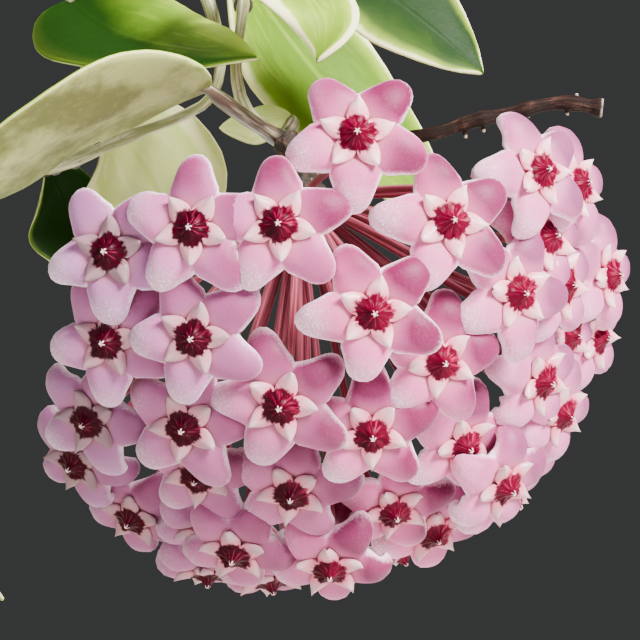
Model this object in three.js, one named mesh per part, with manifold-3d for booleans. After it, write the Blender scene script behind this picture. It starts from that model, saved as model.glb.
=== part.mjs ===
import * as THREE from 'three';
import { mergeVertices } from 'three/addons/utils/BufferGeometryUtils.js';
import Module from 'manifold-3d';

const wasm = await Module();
wasm.setup();

// A hoya in a plain pot: trailing leafy vines and one hanging head of star florets.
// Millimetres, +Z up, with the middle of the pot's base at the origin.

// Pot and soil
const POT_HEIGHT = 125;
const POT_BASE_RADIUS = 47;
const POT_SHOULDER_RADIUS = 62;
const POT_RIM_RADIUS = 70;
const POT_RIM_DEPTH = 25;
const POT_WALL = 5;
const POT_FLOOR = 7;
const POT_SIDES = 30;
const SOIL_SIDES = 20;
const DRAIN_RADIUS = 4.5;
const DRAIN_CIRCLE = 25;
const DRAIN_COUNT = 3;
const SOIL_TOP = 113;
const SOIL_BUMP = 1.6;
const FIT_GAP = 0.3;
const SMALLEST_DETAIL = 0.05;

// Stems
const STEM_FOOT = 76;
const STEM_ROOTED = [STEM_FOOT, 90, 104, 118];
const STEM_RADIUS = 2.1;
const STEM_TIP_RADIUS = 1.2;
const STEM_SIDES = 5;
const STEM_STEPS_PER_POINT = 1.4;
const STEM_HOLE_GAP = 0.5;
const PETIOLE_RADIUS = 1.25;
const PETIOLE_LENGTH = 12;
const PETIOLE_OUT = 0.86;
const PETIOLE_UP = 0.5;

// Leaves
const LEAF_THICKNESS = 2;
const LEAF_WIDTH_SHARE = 0.5;
const LEAF_FOLD = 0.22;
const LEAF_CURL = 0.12;
const LEAF_SIDES = 8;

// A leaf grown by the rule: how its middle rises, its tip droops and its blade rolls, in degrees
const LEAF_RISE = [28, -2];
const LEAF_DROOP = [18, 52];
const LEAF_ROLL = [-25, 25];

// Flower head: florets stand on a ball round the point that their stalks spread from, and are
// turned a little to the light, away from a point further back
const HEAD_CENTRE = new THREE.Vector3(105, -40, 262);
const HEAD_RADIUS = 45;
const FACING_SHIFT = new THREE.Vector3(-8, 13, -3);
const FACE_MIDDLE = [9.8, -8];
const FACE_TURN = [1.5, -6];
const FACE_LEAST = 30;
const FACE_SWING = { left: 0.75, right: 1.3, down: 0.75 };
const FLORET_RADIUS = 8.6;
const FLORET_SPACING = 10.4;
const FLORET_EYE_HEIGHT = 1.3;
const SCALE_REACH = 4.8;
const SCALE_HEIGHT = 2.7;
const STAR_HEIGHT = 2.6;
const FLORET_FOOT = -2;
const STALK_ROOT_RADIUS = 0.5;
const STALK_TOP_RADIUS = 0.68;
const STALK_SEAT = -1.2;
const STALK_SIDES = 4;
const KNOB_RADIUS = 4.4;
const KNOB_STRETCH = [0.95, 0.95, 1.1];
const PEDUNCLE_RADIUS = 1.75;
const CAP_AZIMUTH = 24;
const CAP_DROP = 38;
const CAP_HALF_ANGLE = 61;
const HIDDEN_TRIES = 900;
const EDGE_ON = 0.12;

// Dry twig
const TWIG_RADIUS = 0.95;
const TWIG_STUBS = [0.5, 0.56, 0.84, 0.92];
const STUB_LENGTH = 1.6;
const STUB_RADII = [0.3, 0.42];
const CUP_LENGTH = 2.4;

// The photograph: its frame, the distance of the eye and the pixel of the head's centre
const PHOTO_MIDDLE = 320;
const PIXELS_PER_MM = 7.2;
const EYE_DISTANCE = 300;
const HEAD_PIXEL = [277, 212];
const FOCAL_PIXELS = PIXELS_PER_MM * EYE_DISTANCE;

const EYE = new THREE.Vector3(
  HEAD_CENTRE.x + (PHOTO_MIDDLE - HEAD_PIXEL[0]) / PIXELS_PER_MM,
  HEAD_CENTRE.y - EYE_DISTANCE,
  HEAD_CENTRE.z - (PHOTO_MIDDLE - HEAD_PIXEL[1]) / PIXELS_PER_MM,
);
const UP = new THREE.Vector3(0, 0, 1);

const terracotta = new THREE.MeshStandardMaterial({ color: 0xb8694a, roughness: 0.85 });
const earth = new THREE.MeshStandardMaterial({ color: 0x3d2b20, roughness: 0.95 });
const green = new THREE.MeshStandardMaterial({ color: 0x6f8f3f, roughness: 0.4 });
const pink = new THREE.MeshStandardMaterial({ color: 0xe8b4cf, roughness: 0.55 });
const bark = new THREE.MeshStandardMaterial({ color: 0x5d3d31, roughness: 0.85 });

function radians(degrees) {
  return THREE.MathUtils.degToRad(degrees);
}

function between([first, last], share) {
  return first + (last - first) * share;
}

// A small repeatable random source, so that every build grows the same plant
function randomSource(seed) {
  let state = seed;
  return () => {
    state = (Math.imul(state, 1664525) + 1013904223) >>> 0;
    return state / 4294967296;
  };
}

// Direction of view through a pixel of the photograph
function pixelRay([px, py]) {
  return new THREE.Vector3(
    (px - PHOTO_MIDDLE) / FOCAL_PIXELS,
    1,
    (PHOTO_MIDDLE - py) / FOCAL_PIXELS,
  );
}

// The point seen at a pixel, so many millimetres behind the head's centre
function atPixel([px, py, behind = 0]) {
  return EYE.clone().addScaledVector(pixelRay([px, py]), EYE_DISTANCE + behind);
}

// The knob that the floret stalks spring from, the stretch above it and the dry twig, by pixels
const KNOB_CENTRE = atPixel([300, 200, 1]);
const PEDUNCLE_LINE = [[286, 142, 5], [294, 152, 4], [299, 166, 3]];
const TWIG_LINE = [
  [301, 140, 6], [360, 146, 8], [410, 138, 7], [480, 126, 6], [560, 108, 5], [603, 106, 4],
];

// A closed solid from a closed shell
function solidOf(geometry) {
  geometry.deleteAttribute('normal');
  geometry.deleteAttribute('uv');
  const merged = mergeVertices(geometry, 1e-4);
  return new wasm.Manifold(new wasm.Mesh({
    numProp: 3,
    vertProperties: new Float32Array(merged.attributes.position.array),
    triVerts: new Uint32Array(merged.index.array),
  }));
}

// One closed body for a piece: hollows that the joining seals and loose scraps fall away
function meshOf(name, solid, material) {
  const bodies = solid.simplify(SMALLEST_DETAIL).decompose();
  const joined = bodies.sort((a, b) => b.volume() - a.volume())[0].getMesh();
  const geometry = new THREE.BufferGeometry();
  geometry.setAttribute('position', new THREE.BufferAttribute(joined.vertProperties, 3));
  geometry.setIndex(new THREE.BufferAttribute(joined.triVerts, 1));
  geometry.computeVertexNormals();
  const mesh = new THREE.Mesh(geometry, material);
  mesh.name = name;
  return mesh;
}

// A round bar whose radius changes evenly, bent along a curve
function bentBar(curve, startRadius, endRadius, sides, steps) {
  const geometry = new THREE.CylinderGeometry(endRadius, startRadius, 1, sides, steps);
  const position = geometry.attributes.position;
  const frames = curve.computeFrenetFrames(steps, false);
  for (let i = 0; i < position.count; i += 1) {
    const u = position.getY(i) + 0.5;
    const step = Math.round(u * steps);
    const point = curve.getPointAt(step / steps)
      .addScaledVector(frames.normals[step], position.getX(i))
      .addScaledVector(frames.binormals[step], -position.getZ(i));
    position.setXYZ(i, point.x, point.y, point.z);
  }
  return solidOf(geometry);
}

// The rings of a leaf from the stem to its tip: first round its stalk, then round its blade with
// the width and thickness in shares of the blade's own
const LEAF_RINGS = [
  { stretch: 'stalk', place: 0.05 },
  { stretch: 'stalk', place: 0.9 },
  { stretch: 'blade', place: 0.13, width: 0.62, thickness: 1 },
  { stretch: 'blade', place: 0.4, width: 1, thickness: 1 },
  { stretch: 'blade', place: 0.72, width: 0.76, thickness: 0.85 },
];

// A point on a leaf's ring, where the blade is folded up along its midrib and curls down again
// towards its edges
function leafPoint(ring, turn, lines, facing, width) {
  const line = lines[ring.stretch];
  const along = line.getTangentAt(ring.place);
  const side = new THREE.Vector3().crossVectors(along, facing).normalize();
  const face = new THREE.Vector3().crossVectors(side, along);
  const across = Math.cos(turn);
  const onBlade = ring.stretch === 'blade';
  const half = onBlade ? (ring.width * width) / 2 : PETIOLE_RADIUS;
  const thick = onBlade ? (ring.thickness * LEAF_THICKNESS) / 2 : PETIOLE_RADIUS;
  const fold = onBlade ? half * Math.abs(across) * (LEAF_FOLD - LEAF_CURL * Math.abs(across)) : 0;
  return line.getPointAt(ring.place)
    .addScaledVector(side, half * across)
    .addScaledVector(face, fold + thick * Math.sin(turn));
}

// A fleshy leaf: a ball with its poles at the stem and the tip, whose rings follow its midrib
function leafOf({ root, bend, base, middle, tip, facing, width }) {
  const elbow = bend ?? root.clone().lerp(base, 0.6).addScaledVector(UP, 1.5);
  const knee = middle.clone().multiplyScalar(2)
    .addScaledVector(base, -0.5)
    .addScaledVector(tip, -0.5);
  const lines = {
    stalk: new THREE.QuadraticBezierCurve3(root, elbow, base),
    blade: new THREE.QuadraticBezierCurve3(base, knee, tip),
  };
  const geometry = new THREE.SphereGeometry(1, LEAF_SIDES, LEAF_RINGS.length + 1);
  const position = geometry.attributes.position;
  for (let i = 0; i < position.count; i += 1) {
    const row = Math.floor(i / (LEAF_SIDES + 1));
    const turn = (2 * Math.PI * (i % (LEAF_SIDES + 1))) / LEAF_SIDES;
    const pole = row === 0 ? root : tip;
    const ring = LEAF_RINGS[row - 1];
    position.setXYZ(i, ...(ring ? leafPoint(ring, turn, lines, facing, width) : pole));
  }
  return solidOf(geometry);
}

// The leaf that a rule grows at a node of a stem: out to one side, then hanging by its weight
function ruledLeaf(root, heading, length, random) {
  const rise = radians(between(LEAF_RISE, random()));
  const droop = radians(between(LEAF_DROOP, random()));
  const roll = radians(between(LEAF_ROLL, random()));
  const reach = PETIOLE_LENGTH * (0.7 + 0.005 * length);
  const base = root.clone()
    .addScaledVector(heading, reach * PETIOLE_OUT)
    .addScaledVector(UP, reach * PETIOLE_UP);
  const middle = base.clone()
    .addScaledVector(heading, length * 0.5 * Math.cos(rise))
    .addScaledVector(UP, length * 0.2 * Math.sin(rise));
  const tip = base.clone()
    .addScaledVector(heading, length * Math.cos(droop))
    .addScaledVector(UP, -length * 0.75 * Math.sin(droop));
  const sideways = new THREE.Vector3().crossVectors(heading, UP);
  const facing = UP.clone().addScaledVector(sideways, Math.tan(roll)).normalize();
  return { root, base, middle, tip, facing, width: length * LEAF_WIDTH_SHARE };
}

// Headings of a pair of leaves: to both sides of the stem, and turned by turns where it is upright
function pairHeadings(tangent, turn) {
  const level = new THREE.Vector3(tangent.x, tangent.y, 0);
  const upright = Math.abs(tangent.z);
  const start = level.length() > 0.05 ? Math.atan2(level.y, level.x) : 0;
  const angle = start + Math.PI / 2 + turn * (Math.PI / 2) * upright * upright;
  return [0, Math.PI].map((half) => new THREE.Vector3(
    Math.cos(angle + half),
    Math.sin(angle + half),
    0,
  ));
}

// Each stem: where it leaves the soil, its route above it, and the leaf pairs along it. The two
// stems of the photograph go on along their pixels there, with the depth behind the head's centre.
// A pair is [place along the stem, length of the first leaf, length of the second], 0 for none.
const VINES = {
  vine_front_left: {
    foot: [-22, -20],
    route: [[-27, -26, 160], [-44, -46, 201], [-74, -74, 206], [-100, -98, 170], [-112, -112, 115],
      [-115, -118, 62]],
    pairs: [[0.34, 46, 0], [0.5, 60, 56], [0.66, 54, 58], [0.81, 50, 46], [0.97, 30, 26]],
    seed: 11,
  },
  vine_back_left: {
    foot: [-20, 18],
    route: [[-26, 26, 175], [-44, 48, 238], [-74, 76, 256], [-104, 100, 228], [-118, 112, 170]],
    pairs: [[0.45, 50, 46], [0.62, 60, 58], [0.78, 56, 58], [0.97, 34, 30]],
    seed: 23,
  },
  vine_back: {
    foot: [4, 26],
    route: [[4, 38, 190], [2, 62, 262], [-2, 94, 290], [-6, 124, 270], [-8, 138, 225]],
    pairs: [[0.4, 0, 44], [0.58, 60, 56], [0.77, 54, 56], [0.97, 32, 28]],
    seed: 37,
  },
  vine_front_right: {
    foot: [22, -24],
    route: [[27, -30, 138], [48, -50, 158], [78, -72, 150], [102, -88, 112], [110, -96, 66]],
    pairs: [[0.5, 50, 46], [0.68, 54, 50], [0.84, 44, 48], [0.97, 28, 26]],
    seed: 5,
  },
  vine_back_right: {
    foot: [24, 18],
    route: [[28, 22, 132], [56, 50, 146], [88, 74, 134], [108, 90, 96], [114, 96, 58]],
    pairs: [[0.52, 46, 0], [0.7, 52, 50], [0.86, 46, 42], [0.97, 26, 28]],
    seed: 71,
  },
  vine_left: {
    foot: [-12, -3],
    route: [[-18, -6, 190], [-38, -12, 270], [-72, -20, 312], [-108, -26, 298], [-130, -28, 245],
      [-136, -28, 200]],
    pairs: [[0.38, 50, 0], [0.54, 60, 56], [0.69, 58, 62], [0.83, 52, 48], [0.97, 30, 28]],
    seed: 47,
  },
  vine_flowering: {
    foot: [10, -16],
    route: [[14, -18, 170], [30, -22, 240], [54, -27, 296], [78, -33, 322], [95, -36, 314]],
    seenRoute: [[243, -8, 5], [240, 30, 5], [236, 70, 5], [243, 104, 6], [262, 128, 7],
      [281, 139, 6]],
    pairs: [[0.31, 0, 46], [0.46, 40, 0]],
    seed: 61,
  },
  vine_climbing: {
    foot: [12, 2],
    route: [[13, 6, 180], [17, 8, 250], [28, 6, 303], [44, 0, 321], [56, -4, 309]],
    seenRoute: [[-34, 40, 28], [-26, 110, 27], [4, 156, 20], [44, 168, 14], [74, 160, 12],
      [127, 137, 12], [180, 117, 12], [211, 98, 12], [220, 70, 12], [218, 40, 14], [208, 0, 16],
      [192, -40, 17]],
    pairs: [[0.27, 0, 46]],
    seed: 83,
  },
};

// Leaves of the photograph, each with the pixels of the stem, base, middle and tip of its midrib
const SEEN_LEAVES = {
  vine_flowering: [
    {
      root: [278, 137, 5], bend: [243, 118, 0], base: [208, 89, -6], middle: [91, 116, -12],
      tip: [-60, 221, -14], facing: [-0.3, 0.3, 0.9], width: 24.4,
    },
    {
      root: [240, -10, 5], bend: [222, -44, 3], base: [205, -33, -4], middle: [310, 5, -10],
      tip: [317, 63, -14], facing: [-0.08, -0.32, 0.94], width: 15,
    },
    {
      root: [243, -20, 4], bend: [296, -56, 4], base: [326, -43, 3], middle: [385, -3, 0],
      tip: [483, 74, -2], facing: [0.09, -0.78, 0.62], width: 17,
    },
    {
      root: [242, 6, 6], bend: [232, -20, 14], base: [230, -41, 19], middle: [309, 71, 24],
      tip: [448, 223, 20], facing: [0.45, -0.76, 0.46], width: 25,
    },
    {
      root: [286, 138, 6], bend: [294, 128, 9], base: [292, 120, 11], middle: [256, 127, 13],
      tip: [219, 128, 13], facing: [0, -0.75, 0.66], width: 7.5,
    },
  ],
  vine_climbing: [
    {
      root: [52, 167, 13], bend: [110, 60, 50], base: [34, 12, 22], middle: [131, 50, 6],
      tip: [258, 58, -9], facing: [-0.43, -0.11, 0.9], width: 21.3,
    },
    {
      root: [74, 160, 12], bend: [84, 148, 16], base: [98, 124, 20], middle: [142, 168, 24],
      tip: [190, 262, 22], facing: [0.1, -0.9, 0.4], width: 24,
    },
    {
      root: [44, 168, 14], bend: [40, 164, 20], base: [46, 172, 24], middle: [68, 222, 28],
      tip: [112, 300, 26], facing: [0.75, -0.6, 0.25], width: 20,
    },
  ],
};

// A stem's line: straight down in its hole, then along its route
function stemCurve(vine) {
  const [x, y] = vine.foot;
  const rooted = STEM_ROOTED.map((z) => new THREE.Vector3(x, y, z));
  const free = vine.route.map((point) => new THREE.Vector3(...point));
  const seen = (vine.seenRoute ?? []).map(atPixel);
  return new THREE.CatmullRomCurve3([...rooted, ...free, ...seen], false, 'centripetal');
}

// The middle line of a stem as it is built, in straight stretches
function stretchesOf(curve, steps) {
  const points = Array.from({ length: steps + 1 }, (_, i) => curve.getPointAt(i / steps));
  return points.slice(1).map((point, i) => new THREE.Line3(points[i], point));
}

// The place inside a stem that is nearest to a point
function insideStem(stretches, point) {
  const places = stretches.map((line) => (
    line.closestPointToPoint(point, true, new THREE.Vector3())
  ));
  return places.reduce((best, place) => (
    place.distanceTo(point) < best.distanceTo(point) ? place : best
  ));
}

// The leaf pairs that a stem carries by its rule
function ruledLeaves(vine, curve, stretches) {
  const random = randomSource(vine.seed);
  return vine.pairs.flatMap(([place, ...lengths], turn) => {
    const root = insideStem(stretches, curve.getPointAt(place));
    const headings = pairHeadings(curve.getTangentAt(place), turn);
    const leaves = headings.map((heading, k) => ruledLeaf(root, heading, lengths[k], random));
    return leaves.filter((leaf) => leaf.width > 0).map(leafOf);
  });
}

// A leaf of the photograph, brought from its pixels to its place on the stem
function seenLeaf(leaf, stretches) {
  return leafOf({
    ...leaf,
    root: insideStem(stretches, atPixel(leaf.root)),
    bend: atPixel(leaf.bend),
    base: atPixel(leaf.base),
    middle: atPixel(leaf.middle),
    tip: atPixel(leaf.tip),
    facing: new THREE.Vector3(...leaf.facing).normalize(),
  });
}

// One vine: its stem and all its leaves, grown together
function vineOf(name, vine) {
  const curve = stemCurve(vine);
  const steps = Math.round(STEM_STEPS_PER_POINT * curve.points.length);
  const stretches = stretchesOf(curve, steps);
  const seen = (SEEN_LEAVES[name] ?? []).map((leaf) => seenLeaf(leaf, stretches));
  const ruled = ruledLeaves(vine, curve, stretches);
  const stem = bentBar(curve, STEM_RADIUS, STEM_TIP_RADIUS, STEM_SIDES, steps);
  return meshOf(name, wasm.Manifold.union([stem, ...ruled, ...seen]), green);
}

// Florets of the photograph: the pixel of the eye, the screen direction of one petal in
// degrees, and how far the floret stands out past its neighbours
const SEEN_FLORETS = [
  [357, 134, 51, 1], [543, 171, 45, 0.8], [581, 184, 18, -0.5], [108, 252, 52, 0],
  [191, 228, 18, 0.6], [279, 224, 22, 0.9], [451, 221, 32, 0.6], [520, 293, 68, 0.5],
  [566, 285, 40, -0.8], [106, 342, 48, 0.3], [193, 338, 39, 1.2], [374, 313, 43, 1.2],
  [442, 362, 11, -0.2], [545, 382, 30, 0.5], [612, 275, 20, 1], [600, 338, 50, 1],
  [87, 422, 70, -0.2], [184, 428, 2, 0.3], [280, 406, 33, 0.2], [372, 435, 18, 0.8],
  [466, 446, 12, -0.3], [565, 415, 8, 3], [74, 465, 71, -1], [131, 520, 45, 0.4],
  [197, 478, 5, -1.4], [291, 495, 5, 0.2], [395, 513, 10, 0.4], [507, 488, 20, 5.5],
  [234, 555, 55, 4], [330, 571, 50, 6], [435, 535, 0, 2], [572, 335, 12, -1.5],
  [533, 455, 48, -1.5], [550, 236, 15, -1.8],
];

// Florets of the photograph that turn away from us, on the far side of the head
const TURNED_FLORETS = [
  [513, 501, 60, 5], [208, 576, 30, 5], [402, 556, 20, 5], [272, 584, 10, 5],
];

// Where the line of sight meets the head's ball, or passes it closest
function eyePointAt(px, py, stand, turned) {
  const ray = pixelRay([px, py]).normalize();
  const toCentre = HEAD_CENTRE.clone().sub(EYE);
  const nearest = toCentre.dot(ray);
  const missSquared = toCentre.lengthSq() - nearest * nearest;
  const radius = HEAD_RADIUS + FLORET_EYE_HEIGHT + stand;
  const back = Math.sqrt(Math.max(0, radius * radius - missSquared));
  return EYE.clone().addScaledVector(ray, nearest + (turned ? back : -back));
}

// The way that a floret at a point of the dome faces
function facingAt(point) {
  return point.clone().sub(HEAD_CENTRE).sub(FACING_SHIFT).normalize();
}

// The way that a floret faces on the side of the dome that we see: squarely to us near the middle,
// and turned away more towards the right edge than towards the left or below
function facingUs(point) {
  const way = point.clone().sub(HEAD_CENTRE);
  const front = Math.max(FACE_LEAST, -FACE_TURN[0] * way.y + FACE_TURN[1]);
  const sideways = way.x - FACE_MIDDLE[0];
  return new THREE.Vector3(
    sideways * (sideways > 0 ? FACE_SWING.right : FACE_SWING.left),
    -front,
    (way.z - FACE_MIDDLE[1]) * FACE_SWING.down,
  ).normalize();
}

// A floret of the photograph: its seat, the way it faces and the way one petal points
function seenFloret([px, py, spin, stand], turned) {
  const eye = eyePointAt(px, py, stand, turned);
  const out = turned ? facingAt(eye) : facingUs(eye);
  const screen = new THREE.Vector3(Math.cos(radians(spin)), 0, Math.sin(radians(spin)));
  const facesUs = Math.abs(out.y) > 0.25;
  const petal = facesUs
    ? screen.clone().setY(-screen.dot(out) / out.y)
    : screen.clone().addScaledVector(out, -screen.dot(out));
  return { seat: eye.addScaledVector(out, -FLORET_EYE_HEIGHT), out, petal: petal.normalize() };
}

// The head's other florets, spread evenly over the rest of its dome, where the photograph can't
// see them: as good as edge on to the eye, or turned away from it
function hiddenFlorets(placed) {
  const random = randomSource(2718);
  const level = Math.cos(radians(CAP_DROP));
  const axis = new THREE.Vector3(
    Math.sin(radians(CAP_AZIMUTH)) * level,
    -Math.cos(radians(CAP_AZIMUTH)) * level,
    -Math.sin(radians(CAP_DROP)),
  );
  const toAxis = new THREE.Quaternion().setFromUnitVectors(UP, axis);
  const goldenAngle = Math.PI * (3 - Math.sqrt(5));
  const all = [...placed];
  for (let i = 0; i < HIDDEN_TRIES; i += 1) {
    const cosine = 1 - (i / HIDDEN_TRIES) * (1 - Math.cos(radians(CAP_HALF_ANGLE)));
    const sine = Math.sqrt(1 - cosine * cosine);
    const out = new THREE.Vector3(
      sine * Math.cos(i * goldenAngle),
      sine * Math.sin(i * goldenAngle),
      cosine,
    ).applyQuaternion(toAxis);
    const seat = HEAD_CENTRE.clone().addScaledVector(out, HEAD_RADIUS);
    const facesUs = out.dot(EYE.clone().sub(seat).normalize()) > EDGE_ON;
    if (!facesUs && all.every((other) => other.seat.distanceTo(seat) > FLORET_SPACING)) {
      const spin = 2 * Math.PI * random();
      const facing = facingAt(seat);
      const across = new THREE.Vector3().crossVectors(facing, axis).normalize();
      all.push({ seat, out: facing, petal: across.applyAxisAngle(facing, spin) });
    }
  }
  return all.slice(placed.length);
}

// The corners of one of a floret's five lobes: turned from the middle of its petal in degrees, how
// far out and how high over the seat
const LOBE_CORNERS = {
  notch: [0, SCALE_REACH * 0.42, 1.1],
  scale: [36, SCALE_REACH, SCALE_HEIGHT],
  valley: [36, FLORET_RADIUS * 0.6, 0],
  near: [-17, FLORET_RADIUS * 0.87, -0.2],
  tip: [0, FLORET_RADIUS, -1.3],
  far: [17, FLORET_RADIUS * 0.87, -0.2],
  pillow: [0, FLORET_RADIUS * 0.68, 0.75],
  belly: [0, FLORET_RADIUS * 0.66, -0.95],
  neck: [36, 1.5, -1.5],
};

// One floret: five broad pillowy petals that turn back at their tips, and over the gaps
// between them a star of five raised scales round a low middle
function floretSolid({ seat, out, petal }) {
  const side = new THREE.Vector3().crossVectors(out, petal);
  const points = [];
  const triangles = [];
  const put = ([turn, radius, height]) => {
    const point = seat.clone()
      .addScaledVector(petal, radius * Math.cos(radians(turn)))
      .addScaledVector(side, radius * Math.sin(radians(turn)))
      .addScaledVector(out, height);
    return points.push(point.x, point.y, point.z) / 3 - 1;
  };
  const fan = (middle, ring) => {
    ring.slice(1).forEach((corner, k) => triangles.push(middle, ring[k], corner));
  };
  const lobes = [0, 72, 144, 216, 288].map((start) => Object.fromEntries(
    Object.entries(LOBE_CORNERS).map(([name, [turn, ...place]]) => (
      [name, put([start + turn, ...place])]
    )),
  ));
  const star = put([0, 0, STAR_HEIGHT]);
  const foot = put([0, 0, FLORET_FOOT]);
  lobes.forEach((lobe, k) => {
    const before = lobes[(k + 4) % 5];
    fan(star, [before.scale, lobe.notch, lobe.scale]);
    const rim = [before.valley, lobe.near, lobe.tip, lobe.far, lobe.valley];
    fan(lobe.pillow, [lobe.notch, before.scale, ...rim, lobe.scale, lobe.notch]);
    fan(lobe.belly, [before.neck, lobe.neck, ...rim.toReversed(), before.neck]);
    triangles.push(foot, lobe.neck, before.neck);
  });
  const geometry = new THREE.BufferGeometry();
  geometry.setAttribute('position', new THREE.Float32BufferAttribute(points, 3));
  geometry.setIndex(triangles);
  return solidOf(geometry);
}

// A floret's stalk springs from inside the knob and comes up straight behind the floret
function stalkSolid({ seat, out }) {
  const top = seat.clone().addScaledVector(out, STALK_SEAT);
  const start = KNOB_CENTRE.clone().lerp(top, (0.75 * KNOB_RADIUS) / top.distanceTo(KNOB_CENTRE));
  const line = new THREE.LineCurve3(start, top);
  return bentBar(line, STALK_ROOT_RADIUS, STALK_TOP_RADIUS, STALK_SIDES, 1);
}

// The whole head: the stalk it hangs by, the knob, and all florets on their own stalks
function flowerHead() {
  const knob = new THREE.IcosahedronGeometry(KNOB_RADIUS, 1);
  knob.scale(...KNOB_STRETCH);
  knob.translate(...KNOB_CENTRE);
  const peduncle = new THREE.CatmullRomCurve3([...PEDUNCLE_LINE.map(atPixel), KNOB_CENTRE]);
  const seen = [
    ...SEEN_FLORETS.map((floret) => seenFloret(floret, false)),
    ...TURNED_FLORETS.map((floret) => seenFloret(floret, true)),
  ];
  const florets = [...seen, ...hiddenFlorets(seen)];
  return meshOf('flower_head', wasm.Manifold.union([
    solidOf(knob),
    bentBar(peduncle, PEDUNCLE_RADIUS, PEDUNCLE_RADIUS * 1.2, 6, 3),
    ...florets.map(stalkSolid),
    ...florets.map(floretSolid),
  ]), pink);
}

// The dry end: a thin brown rod with a cup-shaped break and a few small stubs under it
function dryTwig() {
  const line = new THREE.CatmullRomCurve3(TWIG_LINE.map(atPixel));
  const rod = bentBar(line, TWIG_RADIUS, TWIG_RADIUS * 0.8, 5, 6);
  const end = line.getPointAt(1);
  const cup = new THREE.CylinderGeometry(TWIG_RADIUS * 1.5, TWIG_RADIUS * 0.7, CUP_LENGTH, 6, 1);
  cup.rotateZ(-Math.PI / 2);
  cup.translate(end.x + CUP_LENGTH / 6, end.y, end.z);
  const stubs = TWIG_STUBS.map((place) => {
    const stub = new THREE.CylinderGeometry(...STUB_RADII, STUB_LENGTH, 4, 1);
    const root = line.getPointAt(place);
    stub.rotateX(-Math.PI / 2);
    stub.translate(root.x, root.y, root.z - 0.7 * STUB_LENGTH);
    return solidOf(stub);
  });
  return meshOf('dry_twig', wasm.Manifold.union([rod, solidOf(cup), ...stubs]), bark);
}

// Inside face of the pot at a height
function potInnerRadius(z) {
  const taper = (POT_SHOULDER_RADIUS - POT_BASE_RADIUS) / (POT_HEIGHT - POT_RIM_DEPTH);
  return POT_BASE_RADIUS + taper * z - POT_WALL;
}

// A shell turned round the upright axis from [radius, height] corners
function lathe(profile, sides) {
  const geometry = new THREE.LatheGeometry(profile.map(([r, z]) => new THREE.Vector2(r, z)), sides);
  geometry.rotateX(Math.PI / 2);
  return geometry;
}

// A round upright rod, which cuts a plain hole
function uprightRod(x, y, radius, bottom, top, sides) {
  const rod = new THREE.CylinderGeometry(radius, radius, top - bottom, sides, 1);
  rod.rotateX(Math.PI / 2);
  rod.translate(x, y, (top + bottom) / 2);
  return solidOf(rod);
}

// The pot: a tapered clay wall under a deeper collar, with drain holes in its floor
function pot() {
  const shoulder = POT_HEIGHT - POT_RIM_DEPTH;
  const body = solidOf(lathe([
    [0, 0],
    [POT_BASE_RADIUS - 1.5, 0],
    [POT_BASE_RADIUS, 1.5],
    [POT_SHOULDER_RADIUS, shoulder],
    [POT_RIM_RADIUS - 3, shoulder],
    [POT_RIM_RADIUS - 1.5, shoulder + 2],
    [POT_RIM_RADIUS, POT_HEIGHT - 3],
    [POT_RIM_RADIUS - 2, POT_HEIGHT],
    [POT_RIM_RADIUS - POT_WALL - 1, POT_HEIGHT - 1],
    [potInnerRadius(POT_HEIGHT - POT_RIM_DEPTH), shoulder],
    [potInnerRadius(POT_FLOOR), POT_FLOOR],
    [0, POT_FLOOR],
  ], POT_SIDES));
  const holes = Array.from({ length: DRAIN_COUNT }, (_, k) => {
    const angle = Math.PI / 2 + (2 * Math.PI * k) / DRAIN_COUNT;
    const x = DRAIN_CIRCLE * Math.cos(angle);
    const y = DRAIN_CIRCLE * Math.sin(angle);
    return uprightRod(x, y, DRAIN_RADIUS, -1, POT_FLOOR + 1, 12);
  });
  return meshOf('pot', body.subtract(wasm.Manifold.union(holes)), terracotta);
}

// The mix fills the pot to just under its rim, with a lumpy top and a plain hole for each stem
function soil(vines) {
  const wallRadius = (z) => potInnerRadius(Math.min(z, POT_HEIGHT - POT_RIM_DEPTH)) - FIT_GAP - 0.2;
  const bottom = POT_FLOOR + FIT_GAP;
  const geometry = lathe([
    [0, bottom],
    [wallRadius(bottom), bottom],
    [wallRadius(POT_HEIGHT - POT_RIM_DEPTH), POT_HEIGHT - POT_RIM_DEPTH],
    [wallRadius(POT_HEIGHT), SOIL_TOP - 2],
    [50, SOIL_TOP],
    [40, SOIL_TOP],
    [29, SOIL_TOP],
    [17, SOIL_TOP],
    [0, SOIL_TOP],
  ], SOIL_SIDES);
  const position = geometry.attributes.position;
  for (let i = 0; i < position.count; i += 1) {
    const z = position.getZ(i);
    if (z > SOIL_TOP - 1) {
      const x = position.getX(i);
      const y = position.getY(i);
      const swell = Math.sin(x * 0.19 + 1) * Math.cos(y * 0.23 - 0.6);
      const ripple = 0.6 * Math.sin(x * 0.41 - y * 0.33);
      position.setZ(i, z + SOIL_BUMP * (swell + ripple));
    }
  }
  const holes = vines.map(({ foot: [x, y] }) => (
    uprightRod(x, y, STEM_RADIUS + STEM_HOLE_GAP, STEM_FOOT - 0.5, SOIL_TOP + 10, 8)
  ));
  return meshOf('soil', solidOf(geometry).subtract(wasm.Manifold.union(holes)), earth);
}

const plant = new THREE.Group();
plant.add(pot());
plant.add(soil(Object.values(VINES)));
for (const [name, vine] of Object.entries(VINES)) {
  plant.add(vineOf(name, vine));
}
plant.add(flowerHead());
plant.add(dryTwig());

export default plant;
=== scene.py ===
"""A potted hoya: trailing leafy vines in a clay pot and one hanging head of pink star florets.

Every length below is in millimetres and becomes metres when a mesh is made, unless a name says so.
"""

import logging
import math
from dataclasses import dataclass
from enum import Enum
from typing import Any, Sequence

import bpy
import numpy as np
from bpy.types import ID, Collection, Material, Mesh, Node, NodeSocket, NodeTree, Object
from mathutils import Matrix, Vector, noise


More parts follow.
